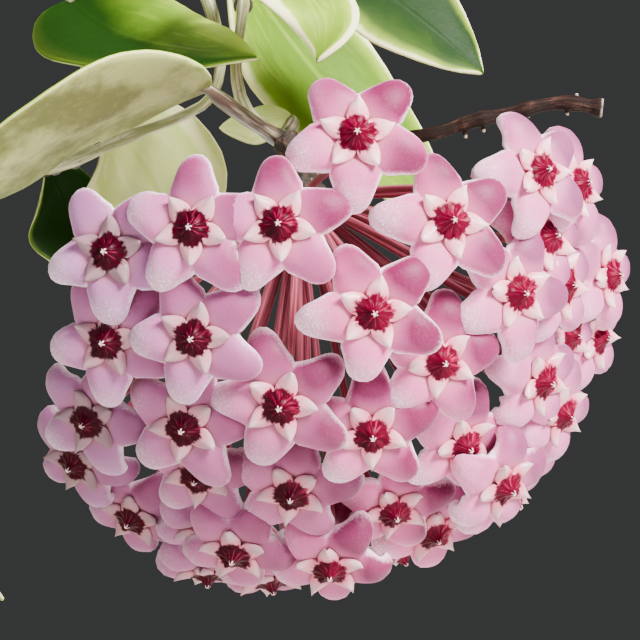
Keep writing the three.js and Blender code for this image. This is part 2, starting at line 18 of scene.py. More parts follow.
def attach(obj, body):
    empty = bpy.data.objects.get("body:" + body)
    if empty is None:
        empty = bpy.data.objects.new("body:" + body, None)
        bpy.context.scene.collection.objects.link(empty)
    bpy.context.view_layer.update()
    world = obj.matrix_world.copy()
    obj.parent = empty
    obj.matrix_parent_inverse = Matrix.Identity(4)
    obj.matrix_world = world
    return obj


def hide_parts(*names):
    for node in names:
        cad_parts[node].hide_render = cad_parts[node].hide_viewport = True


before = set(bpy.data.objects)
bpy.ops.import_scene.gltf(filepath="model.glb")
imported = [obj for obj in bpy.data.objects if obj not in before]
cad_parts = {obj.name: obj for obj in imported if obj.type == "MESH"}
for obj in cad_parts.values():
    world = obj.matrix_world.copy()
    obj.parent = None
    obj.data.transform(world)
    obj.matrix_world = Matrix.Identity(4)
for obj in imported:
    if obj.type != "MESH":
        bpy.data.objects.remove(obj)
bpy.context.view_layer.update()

log = logging.getLogger("hoya")

MM = 0.001
ROOT = "root"
UP = np.array((0.0, 0.0, 1.0))

# The photograph: its middle, its scale at the flower head, and the eye's distance from the head
PHOTO_MIDDLE = 320.0
PIXELS_PER_MM = 7.2
EYE_DISTANCE = 300.0
FOCAL_PIXELS = PIXELS_PER_MM * EYE_DISTANCE
HEAD_CENTRE = np.array((105.0, -40.0, 262.0))
HEAD_PIXEL = (277.0, 212.0)
EYE = HEAD_CENTRE + np.array((
    (PHOTO_MIDDLE - HEAD_PIXEL[0]) / PIXELS_PER_MM,
    -EYE_DISTANCE,
    (HEAD_PIXEL[1] - PHOTO_MIDDLE) / PIXELS_PER_MM,
))

# The sun that petals and scales are painted as lit by: the way to it, and the heights between which
# painted shade darkens the florets below
SUNWARD = (0.83, -0.15, 0.54)
SHADED_BELOW = (222.0, 266.0)

Array = np.ndarray
Colour = tuple[float, float, float, float]
Face = tuple[int, ...]
Pair = tuple[float, float]
Place = tuple[float, float, float]
Row = tuple[float, ...]
Pixel = Row
Table = tuple[Row, ...]


def srgb(red: int, green: int, blue: int) -> Colour:
    """Return the linear colour of a screen colour that is given in steps of 0 to 255."""
    parts = [part / 255 for part in (red, green, blue)]
    linear = [p / 12.92 if p <= 0.04045 else ((p + 0.055) / 1.055) ** 2.4 for p in parts]
    return (linear[0], linear[1], linear[2], 1.0)


def unit(vectors: Array) -> Array:
    """Return vectors at length one."""
    return vectors / np.maximum(np.linalg.norm(vectors, axis=-1, keepdims=True), 1e-9)


def smooth(values: Array | float, low: float, high: float) -> Array:
    """Return how far values have come from low to high, eased at both ends."""
    share = np.clip((np.asarray(values, dtype=float) - low) / (high - low), 0.0, 1.0)
    return share * share * (3 - 2 * share)


def turned(vectors: Array, axis: Array, angle: float) -> Array:
    """Return vectors turned round an axis by an angle in radians."""
    cross = np.cross(axis, vectors)
    dot = np.sum(axis * vectors, axis=-1, keepdims=True)
    return vectors * math.cos(angle) + cross * math.sin(angle) + axis * dot * (1 - math.cos(angle))


def metres(lengths: Sequence[float]) -> Row:
    """Return lengths in millimetres as metres."""
    return tuple(length * MM for length in lengths)


def pixel_ray(px: float, py: float) -> Array:
    """Return the direction of view through a pixel, one millimetre deep."""
    return np.array(((px - PHOTO_MIDDLE) / FOCAL_PIXELS, 1.0, (PHOTO_MIDDLE - py) / FOCAL_PIXELS))


def at_pixel(pixel: Pixel) -> Array:
    """Return the point seen at a pixel, which may say how far behind the head's centre it is."""
    behind = pixel[2] if len(pixel) > 2 else 0.0
    return EYE + pixel_ray(pixel[0], pixel[1]) * (EYE_DISTANCE + behind)


class Dice:
    """The plant's own repeatable random source, the same as in the solid model."""

    factor = 1664525
    step = 1013904223
    size = 2 ** 32

    def __init__(self, seed: int) -> None:
        """Start from a seed."""
        self.state = seed

    def roll(self) -> float:
        """Return the next number from 0 to 1."""
        self.state = (self.state * self.factor + self.step) % self.size
        return self.state / self.size

    def angle(self, start: float, spread: float) -> float:
        """Return an angle in radians, rolled from a start over a spread in degrees."""
        return math.radians(start + spread * self.roll())


# Lines


class Line:
    """A curve in space that is walked by its length."""

    steps = 200
    probes = 800
    nudge = 1e-4

    def __init__(self) -> None:
        """Measure the curve."""
        self.places = np.linspace(0, 1, self.steps + 1)
        spans = np.linalg.norm(np.diff(self.points(self.places), axis=0), axis=1)
        self.lengths = np.concatenate(([0.0], np.cumsum(spans)))

    def points(self, places: Array) -> Array:
        """Return the points at places from 0 to 1 of the curve's own measure."""
        raise NotImplementedError

    @property
    def length(self) -> float:
        """The whole length."""
        return float(self.lengths[-1])

    def own(self, shares: Array | float) -> Array:
        """Return the curve's own measure at shares of its length."""
        wanted = np.atleast_1d(np.asarray(shares, dtype=float)) * self.length
        return np.interp(wanted, self.lengths, self.places)

    def at(self, shares: Array | float) -> Array:
        """Return the points at shares of the length."""
        return self.points(self.own(shares))

    def along(self, shares: Array | float) -> Array:
        """Return the directions at shares of the length."""
        places = self.own(shares)
        ahead = self.points(np.clip(places + self.nudge, 0, 1))
        return unit(ahead - self.points(np.clip(places - self.nudge, 0, 1)))

    def nearest(self, point: Array) -> float:
        """Return the share of the length at which the curve passes closest to a point."""
        shares = np.linspace(0, 1, self.probes + 1)
        return float(shares[np.argmin(np.linalg.norm(self.at(shares) - point, axis=1))])


class Spline(Line):
    """A smooth curve through points, with centripetal spacing."""

    def __init__(self, knots: Array) -> None:
        """Run the curve through its knots."""
        self.knots = np.asarray(knots, dtype=float)
        super().__init__()

    def points(self, places: Array) -> Array:
        """Return the points at places from 0 to 1, where the knots are evenly spaced."""
        return np.array([self.point(float(place)) for place in places])

    def point(self, place: float) -> Array:
        """Return one point of the curve.

        Args:
            place: where it is, from 0 to 1.

        Returns:
            The point.
        """
        knots = self.knots
        last = len(knots) - 1
        reach = place * last
        start = min(int(reach), last - 1)
        share = reach - start
        second, third = knots[start], knots[start + 1]
        first = knots[start - 1] if start > 0 else 2 * second - third
        fourth = knots[start + 2] if start + 2 <= last else 2 * third - second
        gaps = [math.sqrt(np.linalg.norm(b - a)) for a, b in
                ((first, second), (second, third), (third, fourth))]
        leave = ((second - first) / gaps[0] - (third - first) / (gaps[0] + gaps[1])
                 + (third - second) / gaps[1]) * gaps[1]
        enter = ((third - second) / gaps[1] - (fourth - second) / (gaps[1] + gaps[2])
                 + (fourth - third) / gaps[2]) * gaps[1]
        bend = -3 * second + 3 * third - 2 * leave - enter
        twist = 2 * second - 2 * third + leave + enter
        return second + share * (leave + share * (bend + share * twist))


class Bow(Line):
    """A curve from a start to an end that is pulled towards a point between them."""

    def __init__(self, start: Array, pull: Array, end: Array) -> None:
        """Take the three points."""
        self.corners = (start, pull, end)
        super().__init__()

    def points(self, places: Array) -> Array:
        """Return the points at places from 0 to 1."""
        start, pull, end = self.corners
        t = np.asarray(places)[:, None]
        return start * (1 - t) ** 2 + pull * 2 * t * (1 - t) + end * t * t


# Node trees


class Signal:
    """A number that runs through a node tree: arithmetic on it adds the nodes."""

    def __init__(self, graph: "Graph", socket: NodeSocket) -> None:
        """Wrap a socket of a graph."""
        self.graph = graph
        self.socket = socket

    def math(self, operation: str, *others: "Signal | float", first: bool = True) -> "Signal":
        """Return this number joined with others by one Math node.

        Args:
            operation: the Math node's operation.
            others: the other operands.
            first: whether this number is the first operand.

        Returns:
            The result.
        """
        operands = (self, *others) if first else (*others, self)
        node = self.graph.add("ShaderNodeMath", {"operation": operation}, dict(enumerate(operands)))
        return Signal(self.graph, node.outputs[0])

    def __add__(self, other: "Signal | float") -> "Signal":
        """Add."""
        return self.math("ADD", other)

    __radd__ = __add__

    def __sub__(self, other: "Signal | float") -> "Signal":
        """Take away."""
        return self.math("SUBTRACT", other)

    def __rsub__(self, other: float) -> "Signal":
        """Take this from a number."""
        return self.math("SUBTRACT", other, first=False)

    def __mul__(self, other: "Signal | float") -> "Signal":
        """Multiply."""
        return self.math("MULTIPLY", other)

    __rmul__ = __mul__

    def __truediv__(self, other: "Signal | float") -> "Signal":
        """Divide."""
        return self.math("DIVIDE", other)

    def __abs__(self) -> "Signal":
        """Drop the sign."""
        return self.math("ABSOLUTE")

    def rise(self, low: float, high: float) -> "Signal":
        """Return 0 below low and 1 above high, eased between them."""
        return self._ranged(low, high, 0.0, 1.0)

    def fall(self, low: float, high: float) -> "Signal":
        """Return 1 below low and 0 above high, eased between them."""
        return self._ranged(low, high, 1.0, 0.0)

    def _ranged(self, low: float, high: float, start: float, end: float) -> "Signal":
        """Return the number carried from one range to another, eased and kept inside it."""
        node = self.graph.add("ShaderNodeMapRange", {"interpolation_type": "SMOOTHSTEP"}, {
            "Value": self, "From Min": low, "From Max": high, "To Min": start, "To Max": end,
        })
        return Signal(self.graph, node.outputs[0])


class Graph:
    """Adds nodes to one node tree."""

    def __init__(self, tree: NodeTree) -> None:
        """Work on a tree."""
        self.tree = tree

    def add(self, kind: str, settings: dict[str, Any] | None = None,
            sockets: dict[str | int, Any] | None = None) -> Node:
        """Add a node of any type.

        Args:
            kind: the node's type.
            settings: its settings, which are set before its sockets.
            sockets: a value, a signal or a socket for each of its inputs, by name or number.

        Returns:
            The node.
        """
        node = self.tree.nodes.new(kind)
        for name, value in (settings or {}).items():
            setattr(node, name, value)
        for key, value in (sockets or {}).items():
            if isinstance(value, Signal):
                value = value.socket
            if isinstance(value, NodeSocket):
                self.tree.links.new(value, node.inputs[key])
            else:
                node.inputs[key].default_value = value
        return node

    def value(self, kind: str, settings: dict[str, Any] | None = None,
              sockets: dict[str | int, Any] | None = None, output: str | int = 0) -> Signal:
        """Add a node and return one of its outputs as a signal."""
        return Signal(self, self.add(kind, settings, sockets).outputs[output])


class Surface(Graph):
    """The shader tree of one material, with the textures that the finishes share."""

    def __init__(self, name: str) -> None:
        """Start a material.

        Args:
            name: the material's name.
        """
        self.material = bpy.data.materials.new(name)
        self.material.use_nodes = True
        super().__init__(self.material.node_tree)
        self.tree.nodes.clear()
        self.object_place = self.add("ShaderNodeTexCoord").outputs["Object"]

    def read(self, name: str, output: str = "Fac") -> Signal:
        """Return an attribute of the mesh."""
        return self.value("ShaderNodeAttribute", {"attribute_name": name}, output=output)

    def parts(self, vector: Signal) -> tuple[Signal, ...]:
        """Return the three numbers of a vector."""
        node = self.add("ShaderNodeSeparateXYZ", None, {0: vector})
        return tuple(Signal(self, output) for output in node.outputs)

    def away(self, direction: Place, start: Signal) -> Signal:
        """Return how many metres a place lies from a start, in a direction of length one."""
        step = self.value("ShaderNodeVectorMath", {"operation": "SUBTRACT"},
                          {0: self.object_place, 1: start})
        return self.value("ShaderNodeVectorMath", {"operation": "DOT_PRODUCT"},
                          {0: step, 1: direction}, output="Value")

    def joined(self, x: Signal | float, y: Signal | float, z: Signal | float) -> Signal:
        """Return a vector from three numbers."""
        return self.value("ShaderNodeCombineXYZ", None, {0: x, 1: y, 2: z})

    def strand(self, round_it: float, along_it: float) -> Signal:
        """Return coordinates that follow a strand, at one scale round it and one along it."""
        x, y, _ = self.parts(self.read("ring", "Vector"))
        return self.joined(x * round_it, y * round_it, self.read("reach") * along_it)

    def grain(self, per_metre: float, detail: float, roughness: float,
              where: Signal | None = None, twist: float = 0.0) -> Signal:
        """Return soft noise from 0 to 1, with so many spots to a metre or to a unit of where."""
        return self.value("ShaderNodeTexNoise", None, {
            "Vector": where or self.object_place, "Scale": per_metre, "Detail": detail,
            "Roughness": roughness, "Distortion": twist,
        })

    def cells(self, per_metre: float) -> Signal:
        """Return the distance to scattered points, in cells."""
        return self.value("ShaderNodeTexVoronoi", {"feature": "F1"}, {
            "Vector": self.object_place, "Scale": per_metre,
        }, output="Distance")

    def mix(self, share: Signal | float, first: Signal | Colour, second: Signal | Colour) -> Signal:
        """Return a colour between two, by a share from 0 to 1."""
        return self.value("ShaderNodeMix", {"data_type": "RGBA", "clamp_factor": True},
                          {0: share, 6: first, 7: second}, output=2)

    def bump(self, height: Signal, depth: float, strength: float) -> Signal:
        """Return a normal that is roughened by a height from 0 to 1, so many millimetres deep."""
        return self.value("ShaderNodeBump", None, {
            "Height": height, "Distance": depth * MM, "Strength": strength,
        })

    def close(self, colour: Signal | Colour, roughness: Signal | float, normal: Signal | None,
              **constants: float | Sequence[float]) -> Material:
        """Finish the material with one shader.

        Args:
            colour: the base colour.
            roughness: the roughness.
            normal: the normal, if it is roughened.
            constants: other inputs of the shader, by name with spaces for underscores.

        Returns:
            The material.
        """
        sockets: dict[str | int, Any] = {"Base Color": colour, "Roughness": roughness}
        if normal is not None:
            sockets["Normal"] = normal
        sockets |= {name.replace("_", " "): value for name, value in constants.items()}
        shader = self.add("ShaderNodeBsdfPrincipled", None, sockets)
        self.add("ShaderNodeOutputMaterial", None, {"Surface": shader.outputs[0]})
        return self.material


class Recipe(Graph):
    """A Geometry Nodes tree with named inputs, run once to make a plain mesh."""

    def __init__(self, name: str, inputs: dict[str, Any]) -> None:
        """Start a tree.

        Args:
            name: the tree's name.
            inputs: the value of each named input: a whole number, a material or a collection.
        """
        super().__init__(bpy.data.node_groups.new(name, "GeometryNodeTree"))
        face = self.tree.interface
        face.new_socket("Geometry", in_out="INPUT", socket_type="NodeSocketGeometry")
        face.new_socket("Geometry", in_out="OUTPUT", socket_type="NodeSocketGeometry")
        self.values: dict[str, Any] = {}
        for title, value in inputs.items():
            kind = {
                int: "NodeSocketInt", Material: "NodeSocketMaterial",
                Collection: "NodeSocketCollection",
            }[type(value)]
            socket = face.new_socket(title, in_out="INPUT", socket_type=kind)
            self.values[socket.identifier] = value
        self.start = self.add("NodeGroupInput")

    def given(self, name: str) -> NodeSocket:
        """Return one of the tree's inputs."""
        return self.start.outputs[name]

    def read(self, name: str, kind: str = "FLOAT") -> NodeSocket:
        """Return an attribute of the geometry."""
        return self.add("GeometryNodeInputNamedAttribute", {"data_type": kind},
                        {"Name": name}).outputs["Attribute"]

    def mark(self, geometry: NodeSocket, name: str, value: NodeSocket,
             kind: str = "FLOAT") -> NodeSocket:
        """Return a geometry with a value stored on its points by a name."""
        return self.add("GeometryNodeStoreNamedAttribute", {"data_type": kind, "domain": "POINT"},
                        {0: geometry, "Name": name, "Value": value}).outputs[0]

    def finish(self, geometry: NodeSocket) -> None:
        """End the tree with real meshes, dressed in the material that is its input Finish."""
        real = self.add("GeometryNodeRealizeInstances", None, {0: geometry})
        rounded = self.add("GeometryNodeSetShadeSmooth", None, {0: real.outputs[0]})
        dressed = self.add("GeometryNodeSetMaterial", None, {
            0: rounded.outputs[0], "Material": self.given("Finish"),
        })
        self.add("NodeGroupOutput", None, {0: dressed.outputs[0]})

    def grow(self, name: str, base: Mesh, keep: Sequence[str]) -> Object:
        """Run the tree on a mesh and return the result as a plain object.

        Args:
            name: the new piece's name.
            base: the mesh that goes into the tree.
            keep: the attributes that the material reads.

        Returns:
            The piece.
        """
        piece = shown(name, base)
        modifier = piece.modifiers.new(name, "NODES")
        modifier.node_group = self.tree
        for identifier, value in self.values.items():
            modifier[identifier] = value
        made = settled(piece)
        made.name = name
        kept = {*keep, "sharp_face", "sharp_edge", "material_index"}
        spare = [mark.name for mark in made.attributes
                 if not (mark.is_internal or mark.is_required or mark.name in kept)]
        for title in spare:
            made.attributes.remove(made.attributes[title])
        return piece


# Meshes


def turns_of(sides: int) -> Array:
    """Return the angles of corners that stand evenly round a circle."""
    return np.arange(sides) * 2 * math.pi / sides


def level_ring(radii: Array | float, turns: Array, heights: Array | float) -> Array:
    """Return corners round the upright axis at radii, angles and heights."""
    return np.stack((radii * np.cos(turns), radii * np.sin(turns), heights + 0 * turns), axis=1)


def spun(corners: Array, angles: Array | float) -> Array:
    """Return corners turned round the upright axis by angles in radians."""
    x, y, z = corners.T
    cosine, sine = np.cos(angles), np.sin(angles)
    return np.stack((x * cosine - y * sine, x * sine + y * cosine, z), axis=1)


def lobe_rim(half_outline: Table, half_steps: int) -> Array:
    """Return the corners round one lobe of a star from notch to notch, the last one left out.

    Args:
        half_outline: half of its outline as (out, side), from its tip to its notch.
        half_steps: how many steps half of the rim has.

    Returns:
        The corners as (out, side).
    """
    edge = np.array(half_outline)
    walked = np.concatenate(([0.0], np.cumsum(np.linalg.norm(np.diff(edge, axis=0), axis=1))))
    steps = np.arange(2 * half_steps) / half_steps - 1
    spots = np.abs(steps) * walked[-1]
    return np.stack((np.interp(spots, walked, edge[:, 0]),
                     np.interp(spots, walked, edge[:, 1]) * np.sign(steps)), axis=1)


def rings_to_faces(rings: int, sides: int) -> list[Face]:
    """Return the faces that join closed rings of corners, one ring after another.

    Args:
        rings: how many rings there are.
        sides: how many corners a ring has.

    Returns:
        The faces, whose front is on the side where rings run up and corners run anticlockwise.
    """
    faces = []
    for start in range(0, (rings - 1) * sides, sides):
        for side in range(sides):
            after = (side + 1) % sides
            faces.append((start + side, start + after, start + sides + after, start + sides + side))
    return faces


def fan(centre: int, ring: Sequence[int]) -> list[Face]:
    """Return the triangles from a corner to a closed ring of corners."""
    return [(centre, ring[k], ring[(k + 1) % len(ring)]) for k in range(len(ring))]


def shifted(faces: Sequence[Face], start: int) -> list[Face]:
    """Return faces with their corners counted from a start."""
    return [tuple(start + corner for corner in face) for face in faces]


def closed_up(rings: int, sides: int) -> list[Face]:
    """Return the faces of a closed shape: its rings from below, then its foot and its top."""
    last = rings * sides
    return (rings_to_faces(rings, sides) + fan(last, range(sides - 1, -1, -1))
            + fan(last + 1, range(last - sides, last)))


def closed_down(rings: int, sides: int) -> list[Face]:
    """Return the faces of a closed shape: its top, its rings from above, then its foot."""
    last = 1 + rings * sides
    return (shifted(rings_to_faces(rings, sides), 1) + fan(0, range(1, sides + 1))
            + fan(last, range(last - 1, last - 1 - sides, -1)))


def mark(mesh: Mesh, numbers: dict[str, Sequence]) -> None:
    """Store one or three numbers on each corner of a mesh, by the names of attributes."""
    for title, values in numbers.items():
        packed = np.asarray(values, dtype=np.float32)
        kind, key = ("FLOAT", "value") if packed.ndim == 1 else ("FLOAT_VECTOR", "vector")
        mesh.attributes.new(title, kind, "POINT").data.foreach_set(key, packed.ravel())


def mesh_of(name: str, points: Array, faces: Sequence[Face],
            numbers: dict[str, Sequence] | None = None) -> Mesh:
    """Return a smooth mesh.

    Args:
        name: its name.
        points: its corners in millimetres.
        faces: its faces by corner numbers.
        numbers: an attribute for each name, with one or three numbers to a corner.

    Returns:
        The mesh.
    """
    mesh = bpy.data.meshes.new(name)
    mesh.from_pydata((np.asarray(points) * MM).tolist(), [], faces)
    mark(mesh, numbers or {})
    mesh.shade_smooth()
    mesh.update()
    return mesh


def shown(name: str, data: ID) -> Object:
    """Return a new object of the scene."""
    thing = bpy.data.objects.new(name, data)
    bpy.context.scene.collection.objects.link(thing)
    return thing


def piece_of(mesh: Mesh, material: Material) -> Object:
    """Return a dressed object for a mesh."""
    mesh.materials.append(material)
    return shown(mesh.name, mesh)


def settled(piece: Object) -> Mesh:
    """Turn what a piece's modifiers make into its plain mesh.

    Args:
        piece: the piece.

    Returns:
        The mesh.
    """
    graph = bpy.context.evaluated_depsgraph_get()
    made = bpy.data.meshes.new_from_object(
        piece.evaluated_get(graph), preserve_all_data_layers=True, depsgraph=graph)
    piece.modifiers.clear()
    piece.data = made
    return made


def mount(piece: Object, slot: str, *nodes: str) -> None:
    """Fix a piece to the plant and say what it stands for.

    Args:
        piece: the piece.
        slot: the record's material slot; not used.
        nodes: the solids that it replaces.
    """
    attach(piece, ROOT)
    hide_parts(*nodes)
    piece.data.calc_loop_triangles()
    log.info("%s: %d triangles, stands for %s", piece.name, len(piece.data.loop_triangles),
             ", ".join(nodes))


def strands(name: str, lines: Sequence[tuple[Array, Array]], material: Material,
            sides: int, numbers: dict[str, Sequence[float]] | None = None) -> Object:
    """Return round strands that follow lines.

    Args:
        name: the piece's name.
        lines: the points and radii of each strand.
        material: its material.
        sides: how many sides a strand has.
        numbers: further attributes, one number for each strand.

    Returns:
        The piece, with along (from 0 to 1), ring (round it) and reach (in metres) on its corners.
    """
    points = np.concatenate([line for line, _ in lines])
    radii = np.concatenate([radius for _, radius in lines])
    counts = [len(line) for line, _ in lines]
    edges = [(start + k, start + k + 1) for start, count in zip(np.cumsum([0] + counts), counts)
             for k in range(count - 1)]
    mesh = bpy.data.meshes.new(name)
    mesh.from_pydata((points * MM).tolist(), edges, [])
    own = {title: np.repeat(values, counts) for title, values in (numbers or {}).items()}
    mark(mesh, {"thick": radii * MM, **own})
    recipe = Recipe("strand", {"Sides": sides, "Finish": material})
    curve = recipe.add("GeometryNodeMeshToCurve", None, {0: recipe.given("Geometry")})
    spline = recipe.add("GeometryNodeSplineParameter")
    walked = recipe.mark(curve.outputs[0], "along", spline.outputs["Factor"])
    reached = recipe.mark(walked, "reach", spline.outputs["Length"])
    profile = recipe.add("GeometryNodeCurvePrimitiveCircle", {"mode": "RADIUS"}, {
        "Resolution": recipe.given("Sides"), "Radius": 1.0,
    })
    place = recipe.add("GeometryNodeInputPosition")
    ring = recipe.mark(profile.outputs[0], "ring", place.outputs[0], "FLOAT_VECTOR")
    swept = recipe.add("GeometryNodeCurveToMesh", None, {
        "Curve": reached, "Profile Curve": ring, "Scale": recipe.read("thick"), "Fill Caps": True,
    })
    recipe.finish(swept.outputs[0])
    return recipe.grow(name, mesh, ("along", "reach", "ring", *own))


def seated(name: str, seats: Array, numbers: dict[str, Sequence], shapes: Sequence[Mesh],
           material: Material, keep: Sequence[str]) -> Object:
    """Return copies of a few shapes, one on each seat.

    Args:
        name: the piece's name.
        seats: where they stand, in millimetres.
        numbers: for each seat its facing and petal directions, size and shape number, and others.
        shapes: the shapes to choose from.
        material: the piece's material.
        keep: the attributes that the material reads.

    Returns:
        The piece.
    """
    store = bpy.data.collections.new(f"{name}_shapes")
    models = []
    for k, shape in enumerate(shapes):
        if not shape.materials:
            shape.materials.append(material)
        model = bpy.data.objects.new(f"{name}_shape_{k:02d}", shape)
        store.objects.link(model)
        models.append(model)
    base = mesh_of(name, seats, [], numbers)
    recipe = Recipe("seated", {"Shapes": store, "Finish": material})
    shelf = recipe.add("GeometryNodeCollectionInfo", {"transform_space": "ORIGINAL"}, {
        "Collection": recipe.given("Shapes"), "Separate Children": True, "Reset Children": True,
    })
    turn = recipe.add("FunctionNodeAxesToRotation", {"primary_axis": "Z", "secondary_axis": "X"}, {
        "Primary Axis": recipe.read("facing", "FLOAT_VECTOR"),
        "Secondary Axis": recipe.read("heading", "FLOAT_VECTOR"),
    })
    placed = recipe.add("GeometryNodeInstanceOnPoints", None, {
        "Points": recipe.given("Geometry"), "Instance": shelf.outputs[0], "Pick Instance": True,
        "Instance Index": recipe.read("kind"), "Rotation": turn.outputs[0],
        "Scale": recipe.read("size"),
    })
    recipe.finish(placed.outputs[0])
    piece = recipe.grow(name, base, keep)
    for model in models:
        bpy.data.objects.remove(model)
    bpy.data.collections.remove(store)
    return piece


# Finishes


@dataclass(frozen=True)
class PetalFinish:
    """Velvety petals: a pink blush on a pale ground with a downy white rim, and painted light and
    shade.

    The rim is partly the petals' own down and partly painted rim light. Painted shade gives the
    head's left a lilac ground and darkens its low left florets; painted light washes its right
    paler, deepens the blush towards the painted sun and lays painted sheen and glints on the sides
    turned from it.
    """

    ground: Colour = srgb(240, 106, 170)
    shade_lilac: Colour = srgb(172, 116, 168)
    blush: Colour = srgb(118, 12, 70)
    foot: Colour = srgb(186, 116, 132)
    down: Colour = srgb(255, 232, 244)
    back: Colour = srgb(206, 112, 146)
    shade: Colour = srgb(104, 52, 78)
    sunlit: Colour = srgb(255, 192, 250)
    floret_reach: float = 8.6
    shaded_left_of: Pair = (104.0, 120.0)
    painted_sunlight_from: Pair = (122.0, 142.0)

    def make(self) -> Material:
        """Return the material."""
        s = Surface("petal_velvet")
        out, across, edge = s.parts(s.read("petal", "Vector"))
        face = s.read("face")
        own = s.read("own")
        warm = s.read("warm")
        cloud = s.grain(170, 3, 0.55)
        fleck = s.grain(3600, 2, 0.6)
        seat = s.read("seat", "Vector")
        right, _, height = s.parts(seat)
        low = height.fall(*metres(SHADED_BELOW)) * right.fall(*metres(self.shaded_left_of))
        painted_sunlight = right.rise(*metres(self.painted_sunlight_from))
        away = s.away(SUNWARD, seat) / (self.floret_reach * MM)
        # Painted light: the blush deepens on the side of each floret turned to the painted sun and
        # on the head's sunlit right, and it leans to one half of each petal, picked at random, as
        # painted light and shade across the petal.
        deep = 0.2 + 0.85 * away.rise(-0.45, 0.55) + 0.3 * own
        side = (across * (own - 0.5) * 1.2 + 0.3).rise(-0.5, 0.4)
        patch = out.rise(0.2, 0.66) * edge.fall(0.78, 1.0) * deep * side
        patch = patch * (0.8 + 0.4 * cloud) * (0.5 + 0.5 * warm)
        # Painted shade: florets on the head's shaded left take a greyer lilac ground.
        ground = s.mix(warm * 0.85 + 0.15 * cloud, self.shade_lilac, self.ground)
        colour = s.mix(out.fall(0.24, 0.56), ground, self.foot)
        colour = s.mix(patch, colour, self.blush)
        # White rim: partly the petals' own white down and partly painted rim light along their
        # edges.
        rim = (edge + 0.2 * fleck - 0.1).rise(0.82, 1.0)
        colour = s.mix(rim * (0.65 + 0.6 * cloud), colour, self.down)
        # Painted sheen and glints: the sides of the florets turned from the painted sun are painted
        # paler and flecked white.
        pale = away.fall(-0.9, 0.1) * out.rise(0.45, 0.9)
        painted_sheen = fleck.rise(0.5, 0.66) * (0.02 + 0.55 * pale) + 0.4 * pale
        colour = s.mix(painted_sheen, colour, self.down)
        # Painted sunlight: florets far to the head's right are washed paler.
        colour = s.mix(painted_sunlight * 0.12, colour, self.sunlit)
        # Painted shade: low florets on the head's left are darkened.
        colour = s.mix(low * 0.42, colour, self.shade)
        colour = s.mix(face.fall(0.3, 0.6) * 0.75, colour, self.back)
        fuzz = s.grain(5200, 2, 0.7)
        normal = s.bump(fuzz + 0.5 * fleck, 0.05, 0.7)
        return s.close(colour, 0.46 + 0.15 * cloud, normal,
                       Subsurface_Weight=0.2, Subsurface_Radius=(1.0, 0.35, 0.5),
                       Subsurface_Scale=0.001, Sheen_Weight=0.1, Sheen_Roughness=0.4,
                       Sheen_Tint=(1.0, 0.85, 0.93, 1.0), Specular_IOR_Level=0.3)


